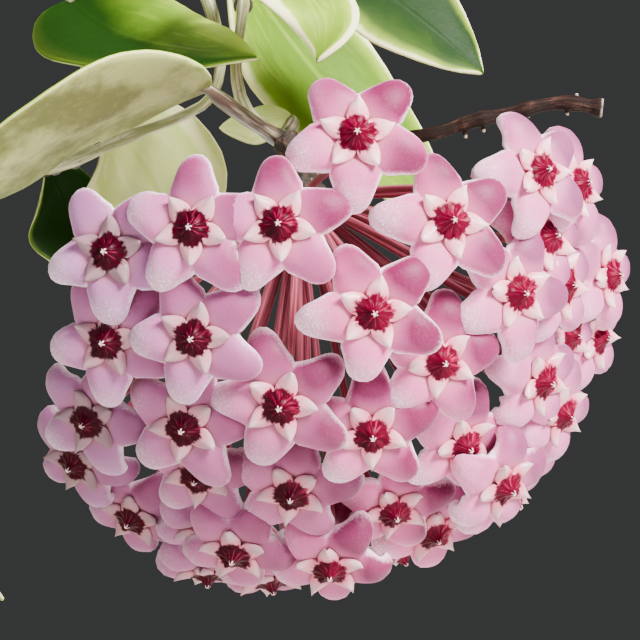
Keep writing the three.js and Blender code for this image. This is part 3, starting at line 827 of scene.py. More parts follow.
@dataclass(frozen=True)
class CrownFinish:
    """Waxy ivory scales round a glossy crimson rosette with a tiny white star, and painted light and
    shade.

    Painted shade greys the scales and darkens the rosettes to wine on the head's left and low
    florets; painted pink glints lie on the rosettes' side turned to the painted sun.
    """

    ivory: Colour = srgb(255, 198, 206)
    shaded: Colour = srgb(136, 106, 114)
    flush_and_glint: Colour = srgb(222, 54, 108)
    crimson: Colour = srgb(94, 0, 32)
    wine_and_shade: Colour = srgb(48, 0, 14)
    star: Colour = srgb(255, 206, 212)
    lobes: int = 10
    reach: float = 2.3

    def make(self) -> Material:
        """Return the material."""
        s = Surface("crown_wax")
        place = s.read("crown", "Vector")
        x, y, _ = s.parts(place)
        out = (x * x + y * y).math("SQRT")
        turn = y.math("ARCTAN2", x)
        warm = s.read("warm")
        speckle = s.grain(1500, 3, 0.6)
        coarse = s.grain(700, 2, 0.5)
        wave = (turn * float(self.lobes)).math("COSINE")
        five = (turn * 5.0).math("COSINE")
        seat = s.read("seat", "Vector")
        shift, _, rise = s.parts(seat)
        radial = s.grain(1.0, 3, 0.6, s.joined(turn.math("COSINE") * 4.4 + shift * 700.0,
                                               turn.math("SINE") * 4.4 + rise * 700.0, out * 0.5))
        edge = self.reach - 0.1 * five + 1.0 * (speckle - 0.5) + 1.5 * (radial - 0.5)
        red = (edge - out).rise(-0.2, 0.24) + out.fall(1.6, 2.0)
        glow = (edge - out).rise(-1.5, 0.0)
        # Painted shade: scales of florets on the head's left, and of lower ones, take the greyer
        # shaded colour.
        low = rise.fall(*metres(SHADED_BELOW))
        wax = s.mix(warm * (1 - 0.5 * low), self.shaded, self.ivory)
        # The scales' own pink flush at their edges and round the rosette, shown fully only on the
        # painted sunlit side of the head.
        wax = s.mix(five.rise(-0.9, 0.5) * 0.3 * warm, wax, self.flush_and_glint)
        colour = s.mix(glow * (0.04 + (0.2 + 0.5 * speckle) * warm), wax, self.flush_and_glint)
        lit = s.away(SUNWARD, seat) / (self.reach * MM)
        # Crimson where lit, and deep wine both in the rosette's own dark streaks and in painted
        # shade: on the head's left and on the side turned from the painted sun.
        depth = (1.2 * radial + 0.4 * speckle + 0.75 * warm + 0.3 * lit - 1.08).rise(0.1, 0.7)
        flesh = s.mix(depth, self.wine_and_shade, self.crimson)
        # Painted highlight: pink glints on the rosette's side turned to the painted sun, on sunlit
        # florets.
        glint = radial.rise(0.52, 0.64) * lit.rise(0.0, 0.8) * warm * out.rise(0.6, 1.1)
        flesh = s.mix(glint * 0.45, flesh, self.flush_and_glint)
        colour = s.mix(red, colour, flesh)
        ray = (0.5 - 0.5 * wave).math("POWER", 40.0) * out.rise(0.3, 0.5) * out.fall(0.8, 1.9)
        colour = s.mix(ray * 0.5 * coarse.rise(0.42, 0.6), colour, self.flush_and_glint)
        star = (0.3 + 0.14 * five - out).rise(-0.06, 0.08)
        colour = s.mix(star, colour, self.star)
        normal = s.bump(s.grain(2400, 2, 0.5), 0.03, 0.6)
        return s.close(colour, 0.32 + 0.1 * speckle, normal,
                       Subsurface_Weight=0.04, Subsurface_Radius=(1.0, 0.5, 0.5),
                       Subsurface_Scale=0.0006, Coat_Weight=0.3 - 0.28 * red, Coat_Roughness=0.12,
                       Specular_IOR_Level=0.06)


@dataclass(frozen=True)
class StalkFinish:
    """Fine stalks, rose red with pale streaks along them."""

    rose: Colour = srgb(114, 26, 46)
    pale: Colour = srgb(172, 82, 102)
    tip: Colour = srgb(204, 128, 138)

    def make(self) -> Material:
        """Return the material."""
        s = Surface("floret_stalk")
        streak = s.grain(1.6, 3, 0.6, s.strand(1.6, 55.0))
        own = s.read("tint")
        colour = s.mix(streak.rise(0.42, 0.66) * (0.4 + 0.6 * own), self.rose, self.pale)
        colour = s.mix(s.read("along").rise(0.82, 1.0) * 0.6, colour, self.tip)
        hair = s.grain(4200, 2, 0.6)
        normal = s.bump(streak + 0.5 * hair, 0.06, 0.8)
        return s.close(colour, 0.45 + 0.2 * hair, normal,
                       Subsurface_Weight=0.1, Subsurface_Scale=0.0006, Sheen_Weight=0.08,
                       Specular_IOR_Level=0.25)


@dataclass(frozen=True)
class LeafFinish:
    """Fleshy variegated leaves: clouded green inside a cream margin, and olive below."""

    deep: Colour = srgb(16, 46, 2)
    fresh: Colour = srgb(92, 128, 10)
    lime: Colour = srgb(186, 214, 66)
    cream: Colour = srgb(248, 248, 186)
    below: Colour = srgb(192, 196, 126)
    below_dark: Colour = srgb(126, 128, 66)

    def make(self) -> Material:
        """Return the material."""
        s = Surface("variegated_leaf")
        along, across, face = s.parts(s.read("blade", "Vector"))
        light, margin, own = s.parts(s.read("habit", "Vector"))
        side = abs(across)
        drift = s.grain(55, 4, 0.55)
        cloud = s.grain(150, 4, 0.6)
        fine = s.grain(900, 3, 0.6)
        # The leaf's light is partly its own variegation and partly painted light and shade, set leaf
        # by leaf and across the blade.
        tone = light + 0.55 * (drift - 0.5) + 0.3 * (cloud - 0.5)
        colour = s.mix(tone.rise(0.0, 0.62), self.deep, self.fresh)
        colour = s.mix(tone.rise(0.55, 1.15), colour, self.lime)
        colour = s.mix(tone.rise(1.1, 1.9) * 0.8, colour, self.cream)
        streak = s.grain(2.2, 4, 0.6, s.joined(along * 2.2 + own * 9.0, across * 3.4, 0.0))
        streak = (streak + light * 0.1).rise(0.56, 0.74) * tone.rise(0.0, 0.9)
        colour = s.mix(streak * 0.25, colour, self.lime)
        rib = side.fall(0.01, 0.06) * along.fall(0.6, 0.95)
        slant = (along * 9.0 - side * 3.0 + 0.5 * (cloud - 0.5)).math("FRACT")
        vein = abs(slant - 0.5).fall(0.02, 0.12) * side.rise(0.04, 0.16) * side.fall(0.6, 0.9)
        colour = s.mix((rib * 0.3 + vein * 0.03) * tone.rise(0.0, 0.8), colour, self.lime)
        wander = s.grain(1.4, 4, 0.55, s.joined(along * 2.6 + own * 23.0, face * 0.2, own)) - 0.5
        reach = side + along.rise(0.86, 1.02) * 0.3 + 0.3 * wander
        limit = 0.94 - 0.5 * margin
        soft = (reach - limit).rise(-0.22, 0.1)
        colour = s.mix(soft * 0.5 * margin.rise(0.0, 0.1), colour, self.lime)
        creamy = (reach - limit).rise(0.0, 0.12)
        colour = s.mix(creamy * margin.rise(0.02, 0.12), colour, self.cream)
        fringe = s.mix(margin.rise(0.06, 0.2), self.lime, self.cream)
        fringed = side.rise(0.93, 0.99) * (0.12 + 0.43 * light.rise(-0.1, 0.3))
        colour = s.mix(fringed, colour, fringe)
        blotch = (0.45 * drift + 0.55 * cloud).rise(0.42, 0.6)
        under = s.mix(blotch, self.below_dark, self.below)
        under = s.mix((fine - 0.5).rise(0.0, 0.3) * 0.12, under, self.cream)
        under = s.mix(side.rise(0.97, 1.0) * 0.5, under, self.cream)
        colour = s.mix(face.fall(-0.25, 0.25), colour, under)
        height = 0.7 * cloud + 0.3 * fine - 0.5 * rib - 0.05 * vein
        normal = s.bump(height, 0.2, 0.45)
        return s.close(colour, 0.46 + 0.2 * fine, normal,
                       Subsurface_Weight=0.3, Subsurface_Radius=(0.5, 1.0, 0.15),
                       Subsurface_Scale=0.003, Specular_IOR_Level=0.15)


@dataclass(frozen=True)
class StemFinish:
    """Young stems, grey green below and flushed brown mauve where a stalk bears weight."""

    green: Colour = srgb(142, 148, 90)
    grey: Colour = srgb(228, 222, 182)
    mauve: Colour = srgb(70, 36, 34)
    scar: Colour = srgb(36, 26, 22)

    def make(self) -> Material:
        """Return the material."""
        s = Surface("green_stem")
        streak = s.grain(1.5, 4, 0.6, s.strand(1.3, 90.0))
        blotch = s.grain(260, 3, 0.6)
        colour = s.mix(streak.rise(0.4, 0.65), self.green, self.grey)
        flush = s.read("flush")
        colour = s.mix(flush * (0.75 + 0.5 * blotch), colour, self.mauve)
        # Painted highlight: pale streaks over the flushed mauve of the leaf stalks.
        colour = s.mix(flush * streak.rise(0.48, 0.62) * 0.4, colour, self.grey)
        collar = flush.rise(0.2, 0.6) * s.read("reach").fall(*metres((1.2, 3.2)))
        colour = s.mix(collar * (0.6 + 0.6 * blotch), colour, self.scar)
        pore = s.cells(700).fall(0.12, 0.24)
        colour = s.mix(pore * 0.3, colour, self.scar)
        normal = s.bump(streak + 0.6 * blotch - 0.3 * pore, 0.14, 0.6)
        return s.close(colour, 0.38 + 0.2 * blotch, normal, Coat_Weight=flush.rise(0.4, 0.9) * 0.9,
                       Coat_Roughness=0.3, Subsurface_Weight=0.06, Subsurface_Scale=0.001)


@dataclass(frozen=True)
class BarkFinish:
    """Dry brown bark, split along the grain."""

    dark: Colour = srgb(14, 6, 4)
    middle: Colour = srgb(38, 19, 14)
    pale: Colour = srgb(86, 58, 46)
    bare: Colour = srgb(206, 186, 170)

    def make(self) -> Material:
        """Return the material."""
        s = Surface("dry_bark")
        split = s.grain(1.8, 5, 0.65, s.strand(1.8, 120.0), 0.4)
        patch = s.grain(420, 4, 0.6)
        colour = s.mix(split.rise(0.36, 0.56), self.dark, self.middle)
        colour = s.mix((0.5 * split + 0.5 * patch).rise(0.52, 0.64) * 0.75, colour, self.pale)
        along = s.read("along")
        snapped = along.rise(0.72, 0.95) * s.read("reach").fall(*metres((3, 4)))
        snapped = snapped + along.rise(0.99, 1.0) * patch.rise(0.35, 0.6) * 0.7
        colour = s.mix(snapped, colour, self.bare)
        normal = s.bump(split + 0.4 * patch, 0.3, 0.9)
        return s.close(colour, 0.68 + 0.2 * patch, normal, Specular_IOR_Level=0.2)


@dataclass(frozen=True)
class KnobFinish:
    """The old knob: brown and corky, with the pale scars of fallen florets."""

    dark: Colour = srgb(26, 14, 10)
    cork: Colour = srgb(82, 54, 38)
    scar: Colour = srgb(160, 132, 106)

    def make(self) -> Material:
        """Return the material."""
        s = Surface("scarred_knob")
        rough = s.grain(1300, 4, 0.65)
        pit = s.cells(900)
        colour = s.mix(rough.rise(0.42, 0.6), self.dark, self.cork)
        colour = s.mix(pit.fall(0.1, 0.3) * rough.rise(0.4, 0.6) * 0.7, colour, self.scar)
        colour = s.mix(pit.rise(0.4, 0.62) * 0.8, colour, self.dark)
        normal = s.bump(rough - pit, 0.35, 0.9)
        return s.close(colour, 0.7 + 0.15 * rough, normal)


@dataclass(frozen=True)
class ClayFinish:
    """Fired clay: orange brown, with pale bloom and damp shade near the foot."""

    clay: Colour = srgb(184, 104, 72)
    burnt: Colour = srgb(150, 78, 54)
    bloom: Colour = srgb(214, 186, 164)
    damp: Colour = srgb(116, 62, 44)

    def make(self) -> Material:
        """Return the material."""
        s = Surface("fired_clay")
        _, _, height = s.parts(Signal(s, s.object_place))
        cloud = s.grain(28, 4, 0.6)
        grit = s.grain(1500, 3, 0.6)
        drip = s.grain(46, 5, 0.65)
        colour = s.mix(cloud.rise(0.35, 0.65), self.burnt, self.clay)
        bloom = (drip + 0.35 * height.fall(*metres((0, 60)))).rise(0.56, 0.78)
        colour = s.mix(bloom * 0.6, colour, self.bloom)
        damp = height.fall(*metres((4, 30))) * cloud.rise(0.3, 0.6)
        colour = s.mix(damp * 0.45, colour, self.damp)
        speck = s.cells(420).fall(0.04, 0.11)
        colour = s.mix(speck * 0.35, colour, self.damp)
        colour = s.mix(grit.rise(0.6, 0.8) * 0.16, colour, self.bloom)
        turning = (height * 900.0 + 2.5 * cloud).math("SINE") * 0.5 + 0.5
        normal = s.bump(grit + 0.25 * turning, 0.12, 0.6)
        return s.close(colour, 0.78 + 0.12 * grit, normal)


@dataclass(frozen=True)
class CrumbFinish:
    """A loose bit of the potting mix, whose shade differs from bit to bit."""

    title: str
    dark: Colour
    light: Colour
    grain_per_metre: float
    depth: float
    rough: float

    def make(self) -> Material:
        """Return the material."""
        s = Surface(self.title)
        own = s.read("tint")
        grain = s.grain(self.grain_per_metre, 5, 0.65)
        fine = s.grain(self.grain_per_metre * 5, 3, 0.6)
        colour = s.mix((grain * 0.7 + own * 0.6 - 0.15).rise(0.25, 0.75), self.dark, self.light)
        normal = s.bump(grain + 0.5 * fine, self.depth, 0.9)
        return s.close(colour, self.rough + 0.1 * fine, normal)


@dataclass(frozen=True)
class FloorFinish:
    """A plain pale floor."""

    pale: Colour = srgb(226, 226, 224)
    dusty: Colour = (0.6, 0.6, 0.6, 1.0)

    def make(self) -> Material:
        """Return the material."""
        s = Surface("pale_floor")
        soft = s.grain(12, 3, 0.5)
        colour = s.mix(soft * 0.08, self.pale, self.dusty)
        return s.close(colour, 0.7 + 0.1 * soft, None)


# Flower head


PETALS = 5
PETAL_STEP = 360 / PETALS

# The florets of the photograph: the pixel of the eye, the screen direction of one petal in
# degrees, and how far the floret stands out past its neighbours
SEEN_FLORETS = (
    (357, 134, 51, 1), (543, 171, 45, 0.8), (581, 184, 18, -0.5), (108, 252, 52, 0),
    (191, 228, 18, 0.6), (279, 224, 22, 0.9), (451, 221, 32, 0.6), (520, 293, 68, 0.5),
    (566, 285, 40, -0.8), (106, 342, 48, 0.3), (193, 338, 39, 1.2), (374, 313, 43, 1.2),
    (442, 362, 11, -0.2), (545, 382, 30, 0.5), (612, 275, 20, 1), (600, 338, 50, 1),
    (87, 422, 70, -0.2), (184, 428, 2, 0.3), (280, 406, 33, 0.2), (372, 435, 18, 0.8),
    (466, 446, 12, -0.3), (565, 415, 8, 3), (74, 465, 71, -1), (131, 520, 45, 0.4),
    (197, 478, 5, -1.4), (291, 495, 5, 0.2), (395, 513, 10, 0.4), (507, 488, 20, 5.5),
    (234, 555, 55, 4), (330, 571, 50, 6), (435, 535, 0, 2), (572, 335, 12, -1.5),
    (533, 455, 48, -1.5), (550, 236, 15, -1.8),
)
TURNED_FLORETS = ((513, 501, 60, 5), (208, 576, 30, 5), (402, 556, 20, 5), (272, 584, 10, 5))


@dataclass
class Floret:
    """One floret's place in the head."""

    seat: Array
    facing: Array
    petal: Array


class Opening(Enum):
    """How a floret's petals turn back: least curl and its spread, edges' least roll and tuck."""

    OPEN = (70.0, 50.0, 0.3, 0.08)
    CURLED = (110.0, 110.0, 0.55, 0.24)


@dataclass
class Corolla:
    """Five broad petals joined at their feet, each crowned, with its tip and edges turned back."""

    dice: Dice
    opening: Opening
    lift: Pair = (3.0, 5.0)
    reach: float = 8.8
    thickness: float = 1.0
    half_outline: Table = (
        (1.1, 0.0), (1.095, 0.08), (1.06, 0.15), (0.99, 0.203), (0.9, 0.238), (0.79, 0.272),
        (0.67, 0.31), (0.57, 0.342), (0.485, 0.3524),
    )
    shares: Row = (0.14, 0.3, 0.42, 0.53, 0.63, 0.72, 0.8, 0.87, 0.93, 0.97, 1.0)
    under_shares: Row = (0.97, 0.9, 0.78, 0.6, 0.35, 0.12)
    half_steps: int = 9

    def half_width(self, out: Array) -> Array:
        """Return how wide half a petal is at distances from the floret's middle."""
        edge = np.array(self.half_outline)[::-1]
        return np.minimum(out * math.tan(math.radians(PETAL_STEP / 2)),
                          np.interp(out, edge[:, 0], edge[:, 1]) + 1e-3)

    def bent(self, flat: Array, habit: dict[str, float]) -> Array:
        """Return flat petal corners bent into shape.

        Args:
            flat: the corners as (out, side), in shares of the reach.
            habit: how this petal curls, twists and leans.

        Returns:
            The corners in space, in the same shares, with the petal along X.
        """
        out, side = flat[:, 0], flat[:, 1]
        fine = np.linspace(0, 1.12, 113)
        bend = habit["curl"] * np.clip((fine - 0.42) / 0.64, 0, None) ** 1.9
        bend = bend - habit["lift"] * smooth(fine, 0.1, 0.4) * (1 - smooth(fine, 0.4, 0.8))
        step = fine[1] - fine[0]
        along_x = np.concatenate(([0.0], np.cumsum(np.cos(bend[:-1]) * step)))
        along_z = np.concatenate(([0.0], np.cumsum(-np.sin(bend[:-1]) * step)))
        angle = np.interp(out, fine, bend)
        free = smooth(out, 0.32, 0.62)
        half = self.half_width(out)
        across = np.clip(np.abs(side) / np.maximum(half, 1e-4), 0, 1)
        crown = 0.07 * smooth(out, 0.2, 0.55) * (1 - across ** 2)
        roll = habit["roll"] * half * across ** 3.2 * free
        ripple = 0.012 * np.sin(9 * out + habit["phase"]) * across ** 2 * np.sign(side) * free
        height = crown - roll + ripple + habit["twist"] * side * free
        x = np.interp(out, fine, along_x) + height * np.sin(angle)
        z = np.interp(out, fine, along_z) + height * np.cos(angle)
        y = side * (1 - habit["tuck"] * across ** 3 * free)
        return np.stack((x, y, z), axis=1)

    def mesh(self, name: str) -> Mesh:
        """Return the floret's petals as one closed mesh, facing +Z with a petal along +X.

        Args:
            name: the mesh's name.

        Returns:
            The mesh, with petal as (out, across, share of the rim), face and own on its corners.
        """
        rim = lobe_rim(self.half_outline, self.half_steps)
        sides = PETALS * len(rim)
        shares = np.array(self.shares)
        rows = np.zeros((len(shares), sides, 3))
        marks = np.zeros((len(shares), sides, 3))
        own = np.zeros((len(shares), sides))
        least_curl, curl_spread, least_roll, tuck = self.opening.value
        for petal in range(PETALS):
            habit = {
                "curl": self.dice.angle(least_curl, curl_spread),
                "lift": self.dice.angle(*self.lift),
                "roll": least_roll + 0.2 * self.dice.roll(),
                "twist": 0.16 * (self.dice.roll() - 0.5),
                "phase": 6.28 * self.dice.roll(),
                "tuck": tuck,
            }
            longer = 0.96 + 0.08 * self.dice.roll()
            turn = math.radians(5 * (self.dice.roll() - 0.5))
            shade = self.dice.roll()
            spots = slice(petal * len(rim), (petal + 1) * len(rim))
            for row, share in enumerate(shares):
                flat = rim * share
                free = smooth(flat[:, 0], 0.45, 0.8)
                stretched = flat * (1 + (longer - 1) * free[:, None])
                rows[row, spots] = spun(self.bent(stretched, habit),
                                        math.radians(PETAL_STEP * petal) + turn * free)
                across = flat[:, 1] / np.maximum(self.half_width(flat[:, 0]), 1e-4)
                marks[row, spots] = np.stack((flat[:, 0], across, share + 0 * across), axis=1)
                own[row, spots] = shade
        rows *= self.reach
        centre = np.array((0.0, 0.0, rows[0, :, 2].mean()))
        outward = np.gradient(np.concatenate((np.broadcast_to(centre, (1, sides, 3)), rows)),
                              axis=0)[1:]
        around = (np.roll(rows, -1, axis=1) - np.roll(rows, 1, axis=1)) / 2
        normals = unit(np.cross(outward, around))
        half_thick = self.thickness / 2 * np.sqrt(np.clip(1 - shares ** 9, 0, 1))[:, None, None]
        top = rows + normals * half_thick
        bottom = rows - normals * half_thick
        under = [int(np.argmin(np.abs(shares - share))) for share in self.under_shares]
        half_up = np.array((0, 0, self.thickness / 2))
        points = np.concatenate((
            [centre + half_up], top.reshape(-1, 3), *bottom[under], [centre - half_up]))
        numbers = {
            "petal": np.concatenate(([(0, 0, 0)], marks.reshape(-1, 3), *marks[under], [(0, 0, 0)])),
            "face": np.repeat((1.0, 0.0), (1 + len(shares) * sides, len(under) * sides + 1)),
            "own": np.concatenate(([0.5], own.ravel(), *own[under], [0.5])),
        }
        return mesh_of(name, points, closed_down(len(shares) + len(under), sides), numbers)


@dataclass
class Crown:
    """The star of five waxy keeled scales over the petals' gaps, round a low scalloped rosette."""

    dice: Dice
    half_outline: Table = (
        (4.6, 0.0), (4.45, 0.17), (4.1, 0.48), (3.7, 0.78), (3.2, 1.08), (2.7, 1.28),
        (2.25, 1.36), (1.66, 1.206),
    )
    shares: Row = (0.08, 0.16, 0.25, 0.34, 0.44, 0.55, 0.66, 0.77, 0.87, 0.95, 1.0)
    half_steps: int = 8
    ridge: Table = (
        (0.0, 2.95), (0.28, 2.9), (0.5, 2.45), (0.9, 1.95), (1.4, 1.62), (1.9, 1.6), (2.5, 1.74),
        (3.4, 1.86), (4.3, 2.0), (5.0, 2.2),
    )
    floor: float = 0.25

    def height(self, flat: Array, tip: float) -> Array:
        """Return how high the scale's face stands.

        Args:
            flat: the corners as (out, side).
            tip: how far this scale's tip is raised past the others.

        Returns:
            The heights.
        """
        out, side = flat[:, 0], np.abs(flat[:, 1])
        table = np.array(self.ridge)
        edge = np.array(self.half_outline)[::-1]
        half = np.minimum(np.interp(out, edge[:, 0], edge[:, 1]) + 0.02, 0.7265 * out + 0.02)
        across = np.clip(side / half, 0, 1)
        away = np.hypot(out, side)
        level = np.interp(away, table[:, 0], table[:, 1])
        keel = 0.75 * (0.6 * across ** 1.1 + 0.4 * across ** 4) * smooth(out, 1.2, 2.6)
        turn = np.arctan2(flat[:, 1], out)
        scallop = 0.05 * np.cos(10 * turn) * smooth(away, 0.6, 1.2) * (1 - smooth(away, 1.9, 2.5))
        spread = tip * smooth(out, 2.5, 5)
        return level - keel + scallop + spread

    def mesh(self, name: str) -> Mesh:
        """Return the crown as one closed mesh, facing +Z, with a scale at 36 degrees from +X.

        Args:
            name: the mesh's name.

        Returns:
            The mesh, with crown, the places of its corners in millimetres, on its corners.
        """
        rim = lobe_rim(self.half_outline, self.half_steps)
        sides = PETALS * len(rim)
        rows = np.zeros((len(self.shares), sides, 3))
        for scale in range(PETALS):
            tip = 0.5 * (self.dice.roll() - 0.5)
            angle = math.radians(PETAL_STEP * (scale + 0.5))
            spots = slice(scale * len(rim), (scale + 1) * len(rim))
            for row, share in enumerate(self.shares):
                flat = rim * share
                raised = np.column_stack((flat, self.height(flat, tip)))
                rows[row, spots] = spun(raised, angle)
        edge = rows[-1]
        wall = [edge - (0, 0, 0.14), edge * (0.9, 0.9, 1.0) - (0, 0, 0.5), edge * (0.74, 0.74, 0.3),
                edge * (0.55, 0.55, 0.0) + (0, 0, self.floor)]
        points = np.concatenate((
            [(0, 0, self.ridge[0][1])], rows.reshape(-1, 3), *wall, [(0, 0, self.floor)]))
        faces = closed_down(len(self.shares) + len(wall), sides)
        return mesh_of(name, points, faces, {"crown": points})


@dataclass
class Calyx:
    """The small cup of five green-pink sepals behind a floret."""

    reach: float = 1.9
    top: float = -0.35
    foot: float = -1.9
    sides: int = 20

    def mesh(self, name: str) -> Mesh:
        """Return the calyx as one closed mesh.

        Args:
            name: the mesh's name.

        Returns:
            The mesh.
        """
        turns = turns_of(self.sides)
        star = 0.5 + 0.5 * np.cos(PETALS * turns)
        sections = ((0.62, 0.0, self.foot), (0.8, 0.15, self.foot + 0.7),
                    (0.95, 0.75, self.top - 0.15), (0.9, 0.95, self.top))
        rings = [level_ring(least + (self.reach - least) * spread * star, turns, height)
                 for least, spread, height in sections]
        points = np.concatenate((*rings, [(0, 0, self.foot), (0, 0, self.top)]))
        return mesh_of(name, points, closed_up(len(rings), self.sides))


@dataclass
class FlowerHead:
    """The hanging dome of florets, with its stalks, the knob they spring from and its short bar."""

    radius: float = 45.0
    facing_shift: Place = (-8.0, 13.0, -3.0)
    face_middle: Pair = (9.8, -8.0)
    face_turn: Pair = (1.5, -6.0)
    face_least: float = 30.0
    face_swing: Place = (0.58, 1.3, 0.75)
    eye_height: float = 1.3
    spacing: float = 10.4
    stalk_radius: float = 0.5
    stalk_taper: float = 0.14
    stalk_top_swell: float = 0.35
    behind_floret: float = 1.2
    knob_radius: float = 4.4
    bar_radius: float = 1.75
    knob_pixel: Pixel = (300, 200, 1)
    bar_pixels: tuple[Pixel, ...] = ((286, 142, 5), (294, 152, 4), (299, 166, 3))
    cap_azimuth: float = 24.0
    cap_drop: float = 38.0
    cap_half_angle: float = 61.0
    tries: int = 900
    edge_on: float = 0.12
    side_on: float = -0.74
    least_depth: float = 0.25
    far_side_seed: int = 2718
    floret_seed: int = 4242
    shape_seed: int = 99
    open_kinds: int = 5
    curled_kinds: int = 4

    def facing_at(self, point: Array) -> Array:
        """Return the way that a floret at a point faces."""
        return unit(point - HEAD_CENTRE - self.facing_shift)

    def facing_us(self, point: Array) -> Array:
        """Return the way that a floret faces on the side of the dome that we see.

        Args:
            point: where the floret is.

        Returns:
            The way that it faces.
        """
        way = point - HEAD_CENTRE
        front = max(self.face_least, -self.face_turn[0] * way[1] + self.face_turn[1])
        sideways = way[0] - self.face_middle[0]
        left, right, down = self.face_swing
        return unit(np.array((sideways * (right if sideways > 0 else left), -front,
                              (way[2] - self.face_middle[1]) * down)))

    def seen(self, mark: Row, turned_away: bool) -> Floret:
        """Return the floret whose eye is at a pixel of the photograph.

        Args:
            mark: the pixel, the direction of a petal and how far the floret stands out.
            turned_away: whether it is on the far side of the head.

        Returns:
            The floret.
        """
        px, py, spin, stand = mark
        ray = unit(pixel_ray(px, py))
        to_centre = HEAD_CENTRE - EYE
        nearest = float(to_centre @ ray)
        missed = float(to_centre @ to_centre) - nearest ** 2
        radius = self.radius + self.eye_height + stand
        back = math.sqrt(max(0.0, radius ** 2 - missed))
        eye = EYE + ray * (nearest + (back if turned_away else -back))
        out = self.facing_at(eye) if turned_away else self.facing_us(eye)
        angle = math.radians(spin)
        screen = np.array((math.cos(angle), 0.0, math.sin(angle)))
        if abs(out[1]) > self.least_depth:
            petal = screen + np.array((0.0, -(screen @ out) / out[1], 0.0))
        else:
            petal = screen - out * (screen @ out)
        return Floret(eye - out * self.eye_height, out, unit(petal))

    def hidden(self, placed: list[Floret]) -> list[Floret]:
        """Return the florets of the far side, which the photograph can't see.

        Args:
            placed: the florets already there.

        Returns:
            The others.
        """
        dice = Dice(self.far_side_seed)
        level = math.cos(math.radians(self.cap_drop))
        azimuth = math.radians(self.cap_azimuth)
        axis = np.array((math.sin(azimuth) * level, -math.cos(azimuth) * level,
                         -math.sin(math.radians(self.cap_drop))))
        swing = Vector(UP).rotation_difference(Vector(axis)).to_matrix()
        golden = math.pi * (3 - math.sqrt(5))
        every = list(placed)
        for k in range(self.tries):
            cosine = 1 - (k / self.tries) * (1 - math.cos(math.radians(self.cap_half_angle)))
            sine = math.sqrt(1 - cosine ** 2)
            spot = Vector((sine * math.cos(k * golden), sine * math.sin(k * golden), cosine))
            out = np.array(swing @ spot)
            seat = HEAD_CENTRE + out * self.radius
            faces_us = out @ unit(EYE - seat) > self.edge_on
            if not faces_us and all(np.linalg.norm(o.seat - seat) > self.spacing for o in every):
                spin = 2 * math.pi * dice.roll()
                facing = self.facing_at(seat)
                across = unit(np.cross(facing, axis))
                every.append(Floret(seat, facing, turned(across, facing, spin)))
        return every[len(placed):]

    def florets(self) -> list[Floret]:
        """Return every floret of the head."""
        known = [self.seen(mark, False) for mark in SEEN_FLORETS]
        known += [self.seen(mark, True) for mark in TURNED_FLORETS]
        return known + self.hidden(known)

    def stalk(self, floret: Floret, knob: Array) -> tuple[Array, Array]:
        """Return a floret stalk's line and its radii, from inside the knob to behind the floret.

        Args:
            floret: the floret.
            knob: the knob's middle.

        Returns:
            The points and the radii.
        """
        top = floret.seat - floret.facing * self.behind_floret
        way = unit(top - knob)
        start = knob + way * self.knob_radius * 0.7
        reach = float(np.linalg.norm(top - start))
        t = np.linspace(0, 1, 12)[:, None]
        pulls = (start + way * 0.4 * reach + UP * 0.03 * reach, top - floret.facing * 0.3 * reach)
        line = (start * (1 - t) ** 3 + pulls[0] * 3 * t * (1 - t) ** 2
                + pulls[1] * 3 * t * t * (1 - t) + top * t ** 3)
        radii = self.stalk_radius + self.stalk_taper * t[:, 0]
        return line, radii + self.stalk_top_swell * smooth(t[:, 0], 0.9, 1.0)

    def knob(self, centre: Array, material: Material) -> Object:
        """Return the corky knob and its bar as one lumpy mesh.

        Args:
            centre: the knob's middle.
            material: its material.

        Returns:
            The piece.
        """
        line = Spline(np.array([*[at_pixel(p) for p in self.bar_pixels], centre]))
        rings, sides = 40, 28
        shares = np.linspace(0, 1, rings)
        base, way = line.at(shares), line.along(shares)
        side = unit(np.cross(way, (0.0, 1.0, 0.0)))
        face = np.cross(way, side)
        turns = turns_of(sides)[:, None]
        bar = self.bar_radius + 0.3 * smooth(shares, 0.2, 0.8)
        bar = bar + 0.35 * np.exp(-(shares * line.length / 1.2) ** 2)
        rows = base[:, None] + bar[:, None, None] * (
            np.cos(turns) * side[:, None] + np.sin(turns) * face[:, None])
        points = np.concatenate((rows.reshape(-1, 3), [base[0], base[-1]]))
        ball_rings, ball_sides = 34, 48
        ball = [(math.sin(polar) * math.cos(angle), math.sin(polar) * math.sin(angle),
                 -math.cos(polar))
                for polar in np.arange(1, ball_rings) * math.pi / ball_rings
                for angle in turns_of(ball_sides)]
        ball = np.array([*ball, (0, 0, -1), (0, 0, 1)])
        lumps = np.array([noise.voronoi(Vector(p) * 3.4)[0][0] for p in ball])
        wrinkle = np.array([noise.noise(Vector(p) * 6.0) for p in ball])
        size = self.knob_radius * np.array((0.95, 0.95, 1.1))
        ball_points = centre + ball * size * (1.06 - 0.26 * lumps + 0.04 * wrinkle)[:, None]
        faces = closed_up(rings, sides)
        faces += shifted(closed_up(ball_rings - 1, ball_sides), len(points))
        mesh = mesh_of("flower_knob", np.concatenate((points, ball_points)), faces)
        return piece_of(mesh, material)

    def build(self) -> None:
        """Make every piece of the head."""
        florets = self.florets()
        dice = Dice(self.floret_seed)
        numbers = {
            "facing": [f.facing for f in florets],
            "heading": [f.petal for f in florets],
            "kind": [k * 3 % self.open_kinds if f.facing[1] < self.side_on
                     else self.open_kinds + k % self.curled_kinds for k, f in enumerate(florets)],
            "size": [0.97 + 0.06 * dice.roll() for _ in florets],
            "tint": np.array([dice.roll() for _ in florets]),
        }
        seats = np.array([f.seat for f in florets])
        numbers["seat"] = seats * MM
        rightward = (seats[:, 0] - HEAD_CENTRE[0]) / self.radius
